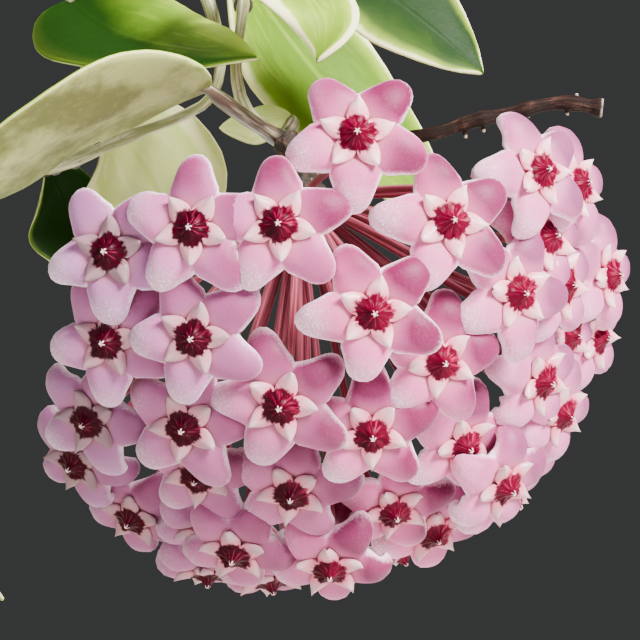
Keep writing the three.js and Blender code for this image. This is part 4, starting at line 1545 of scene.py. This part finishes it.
        # Painted light and shade: florets on the head's right are painted as sunlit and those on its
        # left as in shade, with a little random spread.
        numbers["warm"] = np.clip(0.6 + 1.2 * rightward + 0.25 * (numbers["tint"] - 0.5), 0, 1)
        shape_dice = Dice(self.shape_seed)
        openings = [Opening.OPEN] * self.open_kinds + [Opening.CURLED] * self.curled_kinds
        corollas = [Corolla(shape_dice, opening).mesh(f"corolla_{k}")
                    for k, opening in enumerate(openings)]
        crowns = [Crown(shape_dice).mesh(f"crown_{k}") for k in range(len(openings))]
        calyces = [Calyx().mesh("calyx")] * len(openings)
        stalk_finish = StalkFinish().make()
        for name, shapes, finish, keep in (
                ("floret_petals", corollas, PetalFinish().make(),
                 ("petal", "face", "own", "seat", "warm")),
                ("floret_crowns", crowns, CrownFinish().make(), ("crown", "seat", "warm")),
                ("floret_calyces", calyces, stalk_finish, ("tint",))):
            mount(seated(name, seats, numbers, shapes, finish, keep), "petals", "flower_head")
        centre = at_pixel(self.knob_pixel)
        lines = [self.stalk(floret, centre) for floret in florets]
        mount(strands("floret_stalks", lines, stalk_finish, 10, {"tint": numbers["tint"]}),
              "petals", "flower_head")
        mount(self.knob(centre, KnobFinish().make()), "petals", "flower_head")


# Vines


@dataclass(frozen=True)
class SeenLeaf:
    """A leaf of the photograph: the pixels of its stalk and midrib, its facing and its colours.

    Its light is partly its own variegation and partly painted light and shade, and its lean paints
    the blade lighter towards one side and its tip.
    """

    root: Pixel
    bend: Pixel
    base: Pixel
    middle: Pixel
    tip: Pixel
    facing: Place
    width: float
    light: float
    margin: float
    painted_light_lean: float = 0.0
    blunt: float = 1.0


@dataclass
class Leaf:
    """One leaf: where its stalk and blade run, how wide it is and how it is coloured."""

    root: Array
    bend: Array
    base: Array
    middle: Array
    tip: Array
    facing: Array
    width: float
    light: float
    margin: float
    own: float
    flush: float = 0.3
    painted_light_lean: float = 0.0
    blunt: float = 1.0
    rings: int = 34
    sides: int = 26
    thickness: float = 1.7
    fold: float = 0.22
    curl: float = 0.12
    stalk_radius: float = 1.12
    width_table: Table = (
        (0.0, 0.1), (0.02, 0.24), (0.06, 0.42), (0.13, 0.63), (0.22, 0.83), (0.32, 0.96),
        (0.42, 1.0), (0.52, 0.98), (0.62, 0.9), (0.72, 0.76), (0.82, 0.55), (0.9, 0.34),
        (0.95, 0.18), (0.98, 0.08), (1.0, 0.02),
    )

    def stalk(self) -> tuple[Array, Array]:
        """Return the leaf stalk's line and its radii."""
        line = Bow(self.root, self.bend, self.base)
        shares = np.linspace(0, 1, 14)
        inside = Bow(self.base, self.knee(), self.tip)
        tucked = inside.at(np.array([0.015, 0.035]))
        points = np.concatenate((line.at(shares), tucked))
        swell = 0.3 * np.exp(-(shares / 0.1) ** 2) - 0.3 * smooth(shares, 0.8, 1.0)
        radii = np.concatenate((self.stalk_radius + swell, [0.7, 0.35]))
        return points, radii

    def knee(self) -> Array:
        """Return the point that the midrib is pulled towards."""
        return 2 * self.middle - 0.5 * self.base - 0.5 * self.tip

    def blade(self) -> tuple[Array, list[Face], Array]:
        """Return the blade's corners, its faces and (along, across, face) for each corner."""
        line = Bow(self.base, self.knee(), self.tip)
        walk = np.linspace(0, 1, self.rings)
        shares = 0.004 + 0.99 * (0.6 * walk + 0.4 * (0.5 - 0.5 * np.cos(math.pi * walk)))
        table = np.array(self.width_table)
        fullness = np.where(shares < 0.42, self.blunt, 1.0)
        half = self.width / 2 * np.interp(shares, table[:, 0], table[:, 1]) ** fullness
        ways = line.along(shares)
        side = unit(np.cross(ways, self.facing))
        face = np.cross(side, ways)
        spots = line.at(shares)
        turns = turns_of(self.sides)
        across, over = np.cos(turns), np.sin(turns)
        points, marks = [], []
        for k, share in enumerate(shares):
            thick = self.thickness / 2 * (0.4 + 0.6 * smooth(share, 0, 0.12)) * (
                1 - 0.45 * smooth(share, 0.6, 1))
            thick = min(thick, half[k] * 0.8)
            spread = np.abs(across)
            soft = np.sqrt(spread ** 2 + 0.003) - 0.055
            lift = half[k] * (self.fold * soft - self.curl * spread ** 2)
            phase = 11 * share + 5 * self.own + 2 * np.sign(across)
            wave = 0.05 * half[k] * np.sin(phase) * spread ** 3
            skin = thick * np.sign(over) * np.abs(over) ** 0.7
            ridge = 0.18 * np.exp(-(across / 0.05) ** 2) * (over < 0) * (1 - share)
            height = lift + wave + skin - ridge
            points.append(spots[k] + np.outer(half[k] * across, side[k]) + np.outer(height, face[k]))
            marks.append(np.stack((share + 0 * across, across, np.clip(over * 3, -1, 1)), axis=1))
        corners = np.concatenate((*points, [spots[0], line.at(1.0)[0]]))
        marks.append(np.array(((0, 0, 0), (1, 0, 0))))
        return corners, closed_up(self.rings, self.sides), np.concatenate(marks)


@dataclass
class Vine:
    """One stem of the plant with its leaves, rooted in the mix.

    Each of its pairs is a place along the stem and the lengths of two leaves, 0 for none.
    """

    name: str
    foot: Pair
    route: Table
    pairs: Table
    seed: int
    seen_route: tuple[Pixel, ...] = ()
    seen_leaves: tuple[SeenLeaf, ...] = ()
    seen_knots: tuple[Pixel, ...] = ()
    foot_heights: Row = (76.0, 90.0, 104.0, 118.0)
    foot_radius: float = 2.1
    tip_radius: float = 1.1
    slim: float = 0.0
    stalk_length: float = 12.0
    rise: Pair = (28.0, -30.0)
    droop: Pair = (18.0, 34.0)
    roll: Pair = (-25.0, 50.0)
    step: float = 2.2
    joint_swell: float = 0.32
    joint_reach: float = 2.2

    def line(self) -> Spline:
        """Return the stem's line from its foot in the mix to its tip."""
        rooted = [(*self.foot, height) for height in self.foot_heights]
        seen = [at_pixel(pixel) for pixel in self.seen_route]
        return Spline(np.array([*rooted, *self.route, *seen]))

    def ruled_leaves(self, line: Spline) -> list[Leaf]:
        """Return the leaves that grow in pairs by the vine's own rule.

        Args:
            line: the stem's line.

        Returns:
            The leaves.
        """
        dice = Dice(self.seed)
        looks = Dice(self.seed * 7 + 1)
        leaves = []
        for turn, (place, *lengths) in enumerate(self.pairs):
            root = line.at(place)[0]
            way = line.along(place)[0]
            level = math.hypot(way[0], way[1])
            start = math.atan2(way[1], way[0]) if level > 0.05 else 0.0
            angle = start + math.pi / 2 + turn * (math.pi / 2) * way[2] ** 2
            for half, length in enumerate(lengths):
                heading = np.array((math.cos(angle + half * math.pi),
                                    math.sin(angle + half * math.pi), 0.0))
                rise = dice.angle(*self.rise)
                droop = dice.angle(*self.droop)
                roll = dice.angle(*self.roll)
                if length == 0:
                    continue
                reach = self.stalk_length * (0.7 + 0.005 * length)
                base = root + heading * reach * 0.86 + UP * reach * 0.5
                middle = base + heading * length * 0.5 * math.cos(rise)
                middle = middle + UP * length * 0.2 * math.sin(rise)
                tip = base + heading * length * math.cos(droop)
                tip = tip - UP * length * 0.75 * math.sin(droop)
                facing = unit(UP + np.cross(heading, UP) * math.tan(roll))
                bend = root + (base - root) * 0.6 + UP * 1.5
                leaves.append(Leaf(root, bend, base, middle, tip, facing, length * 0.5,
                                   0.15 + 0.7 * looks.roll(), 0.25 + 0.5 * looks.roll(),
                                   looks.roll()))
        return leaves

    def photographed_leaves(self, line: Spline) -> list[Leaf]:
        """Return the leaves that the photograph shows.

        Args:
            line: the stem's line.

        Returns:
            The leaves.
        """
        leaves = []
        for number, seen in enumerate(self.seen_leaves):
            root = line.at(line.nearest(at_pixel(seen.root)))[0]
            leaves.append(Leaf(root, at_pixel(seen.bend), at_pixel(seen.base),
                               at_pixel(seen.middle), at_pixel(seen.tip),
                               unit(np.array(seen.facing)), seen.width, seen.light, seen.margin,
                               0.37 * number + 0.1, 0.9, seen.painted_light_lean, seen.blunt))
        return leaves

    def build(self, stem_finish: Material, leaf_finish: Material) -> None:
        """Make the stem with its leaf stalks, and all the blades.

        Args:
            stem_finish: the material of the stem and stalks.
            leaf_finish: the material of the blades.
        """
        line = self.line()
        leaves = self.photographed_leaves(line) + self.ruled_leaves(line)
        shares = np.linspace(0, 1, int(line.length / self.step) + 1)
        radii = self.foot_radius + (self.tip_radius - self.foot_radius) * shares
        radii = radii - self.slim * smooth(shares, 0.6, 0.75) * (1 - smooth(shares, 0.94, 1.0))
        joints = np.array([line.nearest(leaf.root) for leaf in leaves]
                          + [line.nearest(at_pixel(knot)) for knot in self.seen_knots])
        gaps = np.abs(shares[:, None] - joints[None, :]).min(axis=1) * line.length
        radii = radii * (1 + self.joint_swell * np.exp(-(gaps / self.joint_reach) ** 2))
        lines = [(line.at(shares), radii)] + [leaf.stalk() for leaf in leaves]
        flush = [0.0] + [leaf.flush for leaf in leaves]
        mount(strands(f"{self.name}_stems", lines, stem_finish, 12, {"flush": flush}),
              "foliage", self.name)
        points, faces, marks, habits = [], [], [], []
        total = 0
        for leaf in leaves:
            corners, sheets, places = leaf.blade()
            faces += shifted(sheets, total)
            total += len(corners)
            points.append(corners)
            marks.append(places)
            # Painted light and shade: the lean paints the blade lighter towards one side and towards
            # its tip.
            light = leaf.light + leaf.painted_light_lean * places[:, 1] + abs(leaf.painted_light_lean) * (places[:, 0] - 0.35)
            habits.append(np.stack((light, leaf.margin + 0 * light, leaf.own + 0 * light), axis=1))
        mesh = mesh_of(f"{self.name}_leaves", np.concatenate(points), faces,
                       {"blade": np.concatenate(marks), "habit": np.concatenate(habits)})
        mount(piece_of(mesh, leaf_finish), "foliage", self.name)


VINES = (
    Vine("vine_front_left", (-22, -20),
         ((-27, -26, 160), (-44, -46, 201), (-74, -74, 206), (-100, -98, 170), (-112, -112, 115),
          (-115, -118, 62)),
         ((0.34, 46, 0), (0.5, 60, 56), (0.66, 54, 58), (0.81, 50, 46), (0.97, 30, 26)), 11),
    Vine("vine_back_left", (-20, 18),
         ((-26, 26, 175), (-44, 48, 238), (-74, 76, 256), (-104, 100, 228), (-118, 112, 170)),
         ((0.45, 50, 46), (0.62, 60, 58), (0.78, 56, 58), (0.97, 34, 30)), 23),
    Vine("vine_back", (4, 26),
         ((4, 38, 190), (2, 62, 262), (-2, 94, 290), (-6, 124, 270), (-8, 138, 225)),
         ((0.4, 0, 44), (0.58, 60, 56), (0.77, 54, 56), (0.97, 32, 28)), 37),
    Vine("vine_front_right", (22, -24),
         ((27, -30, 138), (48, -50, 158), (78, -72, 150), (102, -88, 112), (110, -96, 66)),
         ((0.5, 50, 46), (0.68, 54, 50), (0.84, 44, 48), (0.97, 28, 26)), 5),
    Vine("vine_back_right", (24, 18),
         ((28, 22, 132), (56, 50, 146), (88, 74, 134), (108, 90, 96), (114, 96, 58)),
         ((0.52, 46, 0), (0.7, 52, 50), (0.86, 46, 42), (0.97, 26, 28)), 71),
    Vine("vine_left", (-12, -3),
         ((-18, -6, 190), (-38, -12, 270), (-72, -20, 312), (-108, -26, 298), (-130, -28, 245),
          (-136, -28, 200)),
         ((0.38, 50, 0), (0.54, 60, 56), (0.69, 58, 62), (0.83, 52, 48), (0.97, 30, 28)), 47),
    Vine("vine_flowering", (10, -16),
         ((14, -18, 170), (30, -22, 240), (54, -27, 296), (78, -33, 322), (95, -36, 314)),
         ((0.31, 0, 46), (0.46, 40, 0)), 61, slim=0.45,
         seen_route=((243, -8, 5), (240, 30, 5), (236, 70, 5), (243, 104, 6), (262, 128, 7),
                     (281, 139, 6)),
         seen_leaves=(
             SeenLeaf((278, 137, 5), (243, 118, 0), (208, 89, -6), (91, 116, -12), (-60, 221, -14),
                      (-0.3, 0.3, 0.9), 24.4, 0.4, 0.03),
             SeenLeaf((240, -10, 5), (222, -44, 3), (205, -33, -4), (310, 5, -10),
                      (317, 63, -14), (-0.08, -0.32, 0.94), 15, 0.7, 0.45),
             SeenLeaf((243, -20, 4), (296, -56, 4), (326, -43, 3), (385, -3, 0), (483, 74, -2),
                      (0.09, -0.78, 0.62), 17, -0.12, 0.18, 0.25),
             SeenLeaf((242, 6, 6), (232, -20, 14), (230, -41, 19), (309, 71, 24), (448, 223, 20),
                      (0.45, -0.76, 0.46), 25, 0.5, 0.15, 0.2),
             SeenLeaf((286, 138, 6), (294, 128, 9), (292, 120, 11), (256, 127, 13),
                      (219, 128, 13), (0, -0.75, 0.66), 7.5, 1.9, 0.15),
         )),
    Vine("vine_climbing", (12, 2),
         ((13, 6, 180), (17, 8, 250), (28, 6, 303), (44, 0, 321), (56, -4, 309)),
         ((0.27, 0, 46),), 83, slim=0.4,
         seen_route=((-34, 40, 28), (-26, 110, 27), (4, 156, 20), (44, 168, 14), (74, 160, 12),
                     (127, 137, 12),
                     (180, 117, 12), (211, 98, 12), (220, 70, 12), (218, 40, 14), (208, 0, 16),
                     (192, -40, 17)),
         seen_knots=((78, 158, 12), (127, 137, 12)),
         seen_leaves=(
             # Painted light and shade: this blade is painted lighter towards one side and its tip.
             SeenLeaf((52, 167, 13), (110, 60, 50), (71, 1, 20), (134, 44, 6), (258, 58, -9),
                      (-0.35, -0.26, 0.88), 22, 0.05, 0.02, -0.75, 0.6),
             # Painted sunlight: this leaf's high light paints it pale cream.
             SeenLeaf((74, 160, 12), (84, 148, 16), (98, 124, 20), (142, 168, 24), (190, 262, 22),
                      (0.1, -0.9, 0.4), 24, 2.3, 0.5),
             # Painted shade: this leaf's low light paints it dark green.
             SeenLeaf((44, 168, 14), (40, 164, 20), (46, 172, 24), (68, 222, 28), (112, 300, 26),
                      (0.75, -0.6, 0.25), 20, -0.05, 0.0),
         )),
)


@dataclass
class DryTwig:
    """The dry bare end that sticks out past the flower head, with its broken cup and stubs."""

    pixels: tuple[Pixel, ...] = ((301, 140, 6), (360, 146, 8), (410, 138, 7), (475, 122, 6),
                                 (535, 107, 5), (575, 104, 4.5), (603, 107, 4))
    radius: float = 1.0
    cup_swell: Row = (0.05, 0.15, 0.35, 0.5, 0.5, 0.35)
    stubs: Table = ((0.545, -1.9), (0.605, -1.7), (0.755, -1.3), (0.88, -1.6), (0.91, 1.5))
    stub_radii: Row = (0.5, 0.42, 0.34, 0.3, 0.3, 0.16)
    stub_lean: float = 0.25

    def build(self) -> None:
        """Make the twig."""
        line = Spline(np.array([at_pixel(pixel) for pixel in self.pixels]))
        shares = np.linspace(0, 1, 110)
        reach = shares * line.length
        radii = self.radius * (1 - 0.06 * shares)
        wobble = np.array([noise.noise(Vector((r * 0.5, 3.0, 0.0))) for r in reach])
        radii = radii * (1 + 0.16 * wobble)
        for stub, _ in self.stubs:
            radii = radii + 0.22 * np.exp(-((reach - stub * line.length) / 0.8) ** 2)
        points = line.at(shares)
        points = points + np.stack((0 * reach, 0.15 * np.sin(reach * 0.9),
                                    0.16 * np.sin(reach * 0.55)), axis=1)
        radii[-len(self.cup_swell):] += self.cup_swell
        lines = [(points, radii)]
        drop = np.linspace(0, 1, len(self.stub_radii))[:, None]
        for stub, rise in self.stubs:
            lines.append((line.at(stub)[0] + drop * np.array((self.stub_lean, 0.0, rise)),
                          np.array(self.stub_radii)))
        mount(strands("dry_twig_bark", lines, BarkFinish().make(), 14), "dry_stem", "dry_twig")


# Pot and mix


@dataclass
class Pot:
    """The plain clay pot: a tapered wall under a deep collar, with drain holes in its floor."""

    height: float = 125.0
    base_radius: float = 47.0
    shoulder_radius: float = 62.0
    rim_radius: float = 70.0
    rim_depth: float = 25.0
    wall: float = 5.0
    floor: float = 7.0
    sides: int = 120
    drain_radius: float = 4.5
    drain_circle: float = 25.0
    drain_sides: int = 32
    drains: int = 3
    unevenness: float = 0.12
    sharp_angle: float = 38.0

    def inner_radius(self, height: float) -> float:
        """Return the radius of the inside face at a height."""
        taper = (self.shoulder_radius - self.base_radius) / (self.height - self.rim_depth)
        return self.base_radius + taper * height - self.wall

    def profile(self) -> list[Pair]:
        """Return the corners of the wall's section from the middle of the base round to inside."""
        shoulder = self.height - self.rim_depth
        rim = self.rim_radius
        corners = [
            (0, 0), (self.base_radius - 2, 0), (self.base_radius - 0.5, 0.5),
            (self.base_radius, 2), (self.shoulder_radius, shoulder - 0.6),
            (self.shoulder_radius + 0.8, shoulder), (rim - 3, shoulder), (rim - 1.9, shoulder + 0.6),
            (rim - 1.5, shoulder + 2), (rim - 0.15, self.height - 4), (rim - 0.2, self.height - 1.6),
            (rim - 1.4, self.height - 0.3), (rim - 2.6, self.height),
            (rim - self.wall - 0.2, self.height - 0.7),
            (rim - self.wall - 1, self.height - 2), (self.inner_radius(shoulder) + 0.3, shoulder),
            (self.inner_radius(self.floor + 2), self.floor + 2),
            (self.inner_radius(self.floor) - 2, self.floor), (0, self.floor),
        ]
        fine = []
        for (r0, z0), (r1, z1) in zip(corners, corners[1:]):
            steps = max(1, round(math.hypot(r1 - r0, z1 - z0) / 7))
            fine += [(r0 + (r1 - r0) * k / steps, z0 + (z1 - z0) * k / steps)
                     for k in range(steps)]
        return [*fine, corners[-1]]

    def drill(self) -> Object:
        """Return the tool that cuts the drain holes, one rod for each."""
        turns = turns_of(self.drain_sides)
        rod = [*rings_to_faces(2, self.drain_sides), tuple(range(self.drain_sides - 1, -1, -1)),
               tuple(range(self.drain_sides, 2 * self.drain_sides))]
        points, faces = [], []
        for k in range(self.drains):
            angle = math.pi / 2 + 2 * math.pi * k / self.drains
            middle = np.array((math.cos(angle), math.sin(angle), 0)) * self.drain_circle
            faces += shifted(rod, len(points))
            for height in (-2, self.floor + 3):
                points += [*(middle + level_ring(self.drain_radius, turns, height))]
        return shown("drill", mesh_of("drill", np.array(points), faces))

    def build(self) -> None:
        """Make the pot."""
        turns = turns_of(self.sides)
        rows = []
        for radius, height in self.profile()[1:-1]:
            uneven = self.unevenness * np.sin(3 * turns + height * 0.05) * smooth(height, 1, 12)
            rows.append(level_ring(radius + uneven - self.unevenness, turns, height))
        points = np.concatenate((*rows, [(0, 0, 0), (0, 0, self.floor)]))
        mesh = mesh_of("clay_pot", points, closed_up(len(rows), self.sides))
        piece = piece_of(mesh, ClayFinish().make())
        drill = self.drill()
        cut = piece.modifiers.new("drains", "BOOLEAN")
        cut.object = drill
        cut.operation = "DIFFERENCE"
        cut.solver = "EXACT"
        settled(piece).set_sharp_from_angle(angle=math.radians(self.sharp_angle))
        bpy.data.objects.remove(drill)
        mount(piece, "terracotta", "pot")


class Crumb(Enum):
    """The loose bits that lie on the mix, by half their length, width and height."""

    BARK = (3.4, 2.0, 0.8)
    PERLITE = (1.35, 1.2, 1.05)


@dataclass
class Mix:
    """The potting mix: a lumpy bed with bark chips and perlite lying on it."""

    pot: Pot
    top: float = 113.0
    bump: float = 1.6
    gap: float = 0.5
    sides: int = 144
    chips: int = 620
    grits: int = 240
    shapes: int = 6
    bed_rings: int = 26
    wall_margin: float = 5.0
    stem_margin: float = 3.6
    least_size: float = 0.55
    size_spread: float = 0.75
    lift: float = 0.35

    def surface(self, x: float, y: float) -> float:
        """Return the height of the bed at a place.

        Args:
            x: how far right it is.
            y: how far back it is.

        Returns:
            The height.
        """
        swell = math.sin(x * 0.19 + 1) * math.cos(y * 0.23 - 0.6)
        ripple = 0.6 * math.sin(x * 0.41 - y * 0.33)
        fine = noise.noise(Vector((x * 0.35, y * 0.35, 0))) + 0.5 * noise.noise(
            Vector((x * 0.9, y * 0.9, 5)))
        return self.top + self.bump * (swell + ripple) * 0.8 + 0.7 * fine - 0.8

    def bed(self) -> Mesh:
        """Return the mix itself: a plug that fills the pot."""
        turns = turns_of(self.sides)
        shoulder = self.pot.height - self.pot.rim_depth
        bottom = self.pot.floor + 0.3
        foot = self.pot.inner_radius(bottom)
        wall = self.pot.inner_radius(shoulder) - self.gap
        sections = ((foot - 3, bottom), (foot - self.gap - 1, bottom + 3), (wall, shoulder),
                    (wall, self.top - 3))
        rings = [level_ring(radius, turns, height) for radius, height in sections]
        for share in np.linspace(1, 0.03, self.bed_rings):
            ring = level_ring(share * (wall - 0.2), turns, 0.0)
            ring[:, 2] = [self.surface(x, y) for x, y, _ in ring]
            ring[:, 2] -= 1.2 * smooth(share, 0.9, 1.0)
            rings.append(ring)
        points = np.concatenate((*rings, [(0, 0, bottom), (0, 0, self.surface(0, 0))]))
        return mesh_of("mix_bed", points, closed_up(len(rings), self.sides))

    def crumb(self, kind: Crumb, number: int, dice: Dice) -> Mesh:
        """Return one loose bit, a few millimetres across.

        Args:
            kind: what it is.
            number: which of its kind.
            dice: the random source of its shape.

        Returns:
            Its mesh.
        """
        flat = kind.value
        rings, sides = 5, 9
        points = []
        for k in range(1, rings):
            polar = math.pi * k / rings
            for angle in turns_of(sides):
                swell = 0.72 + 0.5 * dice.roll()
                points.append((flat[0] * swell * math.sin(polar) * math.cos(angle),
                               flat[1] * swell * math.sin(polar) * math.sin(angle),
                               -flat[2] * (0.7 + 0.6 * dice.roll()) * math.cos(polar)))
        points += [(0, 0, -flat[2]), (0, 0, flat[2])]
        return mesh_of(f"{kind.name.lower()}_{number}", np.array(points),
                       closed_up(rings - 1, sides))

    def scatter(self, name: str, kind: Crumb, count: int, seed: int,
                material: Material) -> Object:
        """Return loose bits that lie over the bed, clear of the stems.

        Args:
            name: the piece's name.
            kind: what they are.
            count: how many.
            seed: the seed of their places.
            material: their material.

        Returns:
            The piece.
        """
        dice = Dice(seed)
        spots, facings, headings, sizes = [], [], [], []
        feet = [vine.foot for vine in VINES]
        limit = self.pot.inner_radius(self.pot.height - self.pot.rim_depth) - self.wall_margin
        while len(spots) < count:
            radius = limit * math.sqrt(dice.roll())
            angle = 2 * math.pi * dice.roll()
            x, y = radius * math.cos(angle), radius * math.sin(angle)
            size = self.least_size + self.size_spread * dice.roll()
            facing = unit(np.array((dice.roll() - 0.5, dice.roll() - 0.5, 1.1)))
            spin = 2 * math.pi * dice.roll()
            clear = self.stem_margin + 2 * size
            if any(math.hypot(x - fx, y - fy) < clear for fx, fy in feet):
                continue
            spots.append((x, y, self.surface(x, y) + self.lift))
            facings.append(facing)
            headings.append(unit(np.cross((math.cos(spin), math.sin(spin), 0), facing)))
            sizes.append(size)
        shapes = [self.crumb(kind, k, dice) for k in range(self.shapes)]
        numbers = {
            "facing": facings, "heading": headings, "size": sizes,
            "kind": [k % self.shapes for k in range(count)],
            "tint": [dice.roll() for _ in spots],
        }
        return seated(name, np.array(spots), numbers, shapes, material, ("tint",))

    def build(self) -> None:
        """Make the bed and what lies on it."""
        earth = CrumbFinish("mix_earth", srgb(34, 24, 18), srgb(74, 54, 40), 420, 0.6, 0.85)
        bark = CrumbFinish("bark_chip", srgb(58, 34, 22), srgb(134, 88, 58), 300, 0.25, 0.75)
        perlite = CrumbFinish("perlite", srgb(196, 192, 184), srgb(240, 238, 232), 900, 0.3, 0.8)
        mount(piece_of(self.bed(), earth.make()), "potting_mix", "soil")
        mount(self.scatter("bark_chips", Crumb.BARK, self.chips, 17, bark.make()),
              "potting_mix", "soil")
        mount(self.scatter("perlite_grits", Crumb.PERLITE, self.grits, 29, perlite.make()),
              "potting_mix", "soil")


# Studio


@dataclass
class Studio:
    """A pale floor, soft lights and the camera where the photograph was taken from."""

    floor_radius: float = 1250.0
    floor_sides: int = 64
    pale: Colour = srgb(206, 208, 210)
    ambient: float = 0.07

    def floor(self) -> None:
        """Lay the floor."""
        rim = level_ring(self.floor_radius, turns_of(self.floor_sides), 0.0)
        mesh = mesh_of("floor", rim, [tuple(range(self.floor_sides))])
        piece_of(mesh, FloorFinish().make())

    def lamp(self, name: str, place: Place, aim: Place, size: float, watts: float,
             colour: tuple[float, float, float], mirrored: bool = True) -> None:
        """Hang a square soft lamp.

        Args:
            name: its name.
            place: where it hangs, in metres.
            aim: the point that it lights, in metres.
            size: the length of its side, in metres.
            watts: its power.
            colour: its colour.
            mirrored: whether glossy surfaces mirror it.
        """
        data = bpy.data.lights.new(name, "AREA")
        data.size = size
        data.energy = watts
        data.color = colour
        lamp = shown(name, data)
        lamp.location = place
        lamp.rotation_euler = (Vector(aim) - Vector(place)).to_track_quat("-Z", "Y").to_euler()
        lamp.visible_glossy = mirrored

    def camera(self) -> None:
        """Set up the camera."""
        data = bpy.data.cameras.new("camera")
        data.sensor_fit = "HORIZONTAL"
        data.angle = 2 * math.atan(PHOTO_MIDDLE / FOCAL_PIXELS)
        data.clip_start = 0.01
        data.clip_end = 50
        camera = shown("camera", data)
        camera.location = Vector(EYE * MM)
        camera.rotation_euler = (math.pi / 2, 0, 0)
        bpy.context.scene.camera = camera

    def build(self) -> None:
        """Set up the whole studio."""
        self.camera()
        self.floor()
        world = bpy.data.worlds.new("studio")
        world.use_nodes = True
        backdrop = world.node_tree.nodes["Background"]
        backdrop.inputs["Color"].default_value = self.pale
        backdrop.inputs["Strength"].default_value = self.ambient
        bpy.context.scene.world = world
        head = (0.1, -0.05, 0.24)
        self.lamp("key", (0.75, -0.75, 0.95), head, 0.4, 70, (1.0, 0.985, 0.96))
        self.lamp("fill", (-0.85, -0.9, 0.1), head, 1.1, 12, (0.93, 0.94, 1.0))
        self.lamp("back", (0.1, 0.7, 1.2), head, 0.8, 24, (1.0, 1.0, 1.0), mirrored=False)


def main() -> None:
    """Build the plant in its studio."""
    logging.basicConfig(level=logging.INFO, format="%(message)s")
    Studio().build()
    FlowerHead().build()
    stem_finish = StemFinish().make()
    leaf_finish = LeafFinish().make()
    for vine in VINES:
        vine.build(stem_finish, leaf_finish)
    DryTwig().build()
    pot = Pot()
    pot.build()
    Mix(pot).build()


if __name__ == "__main__":
    main()
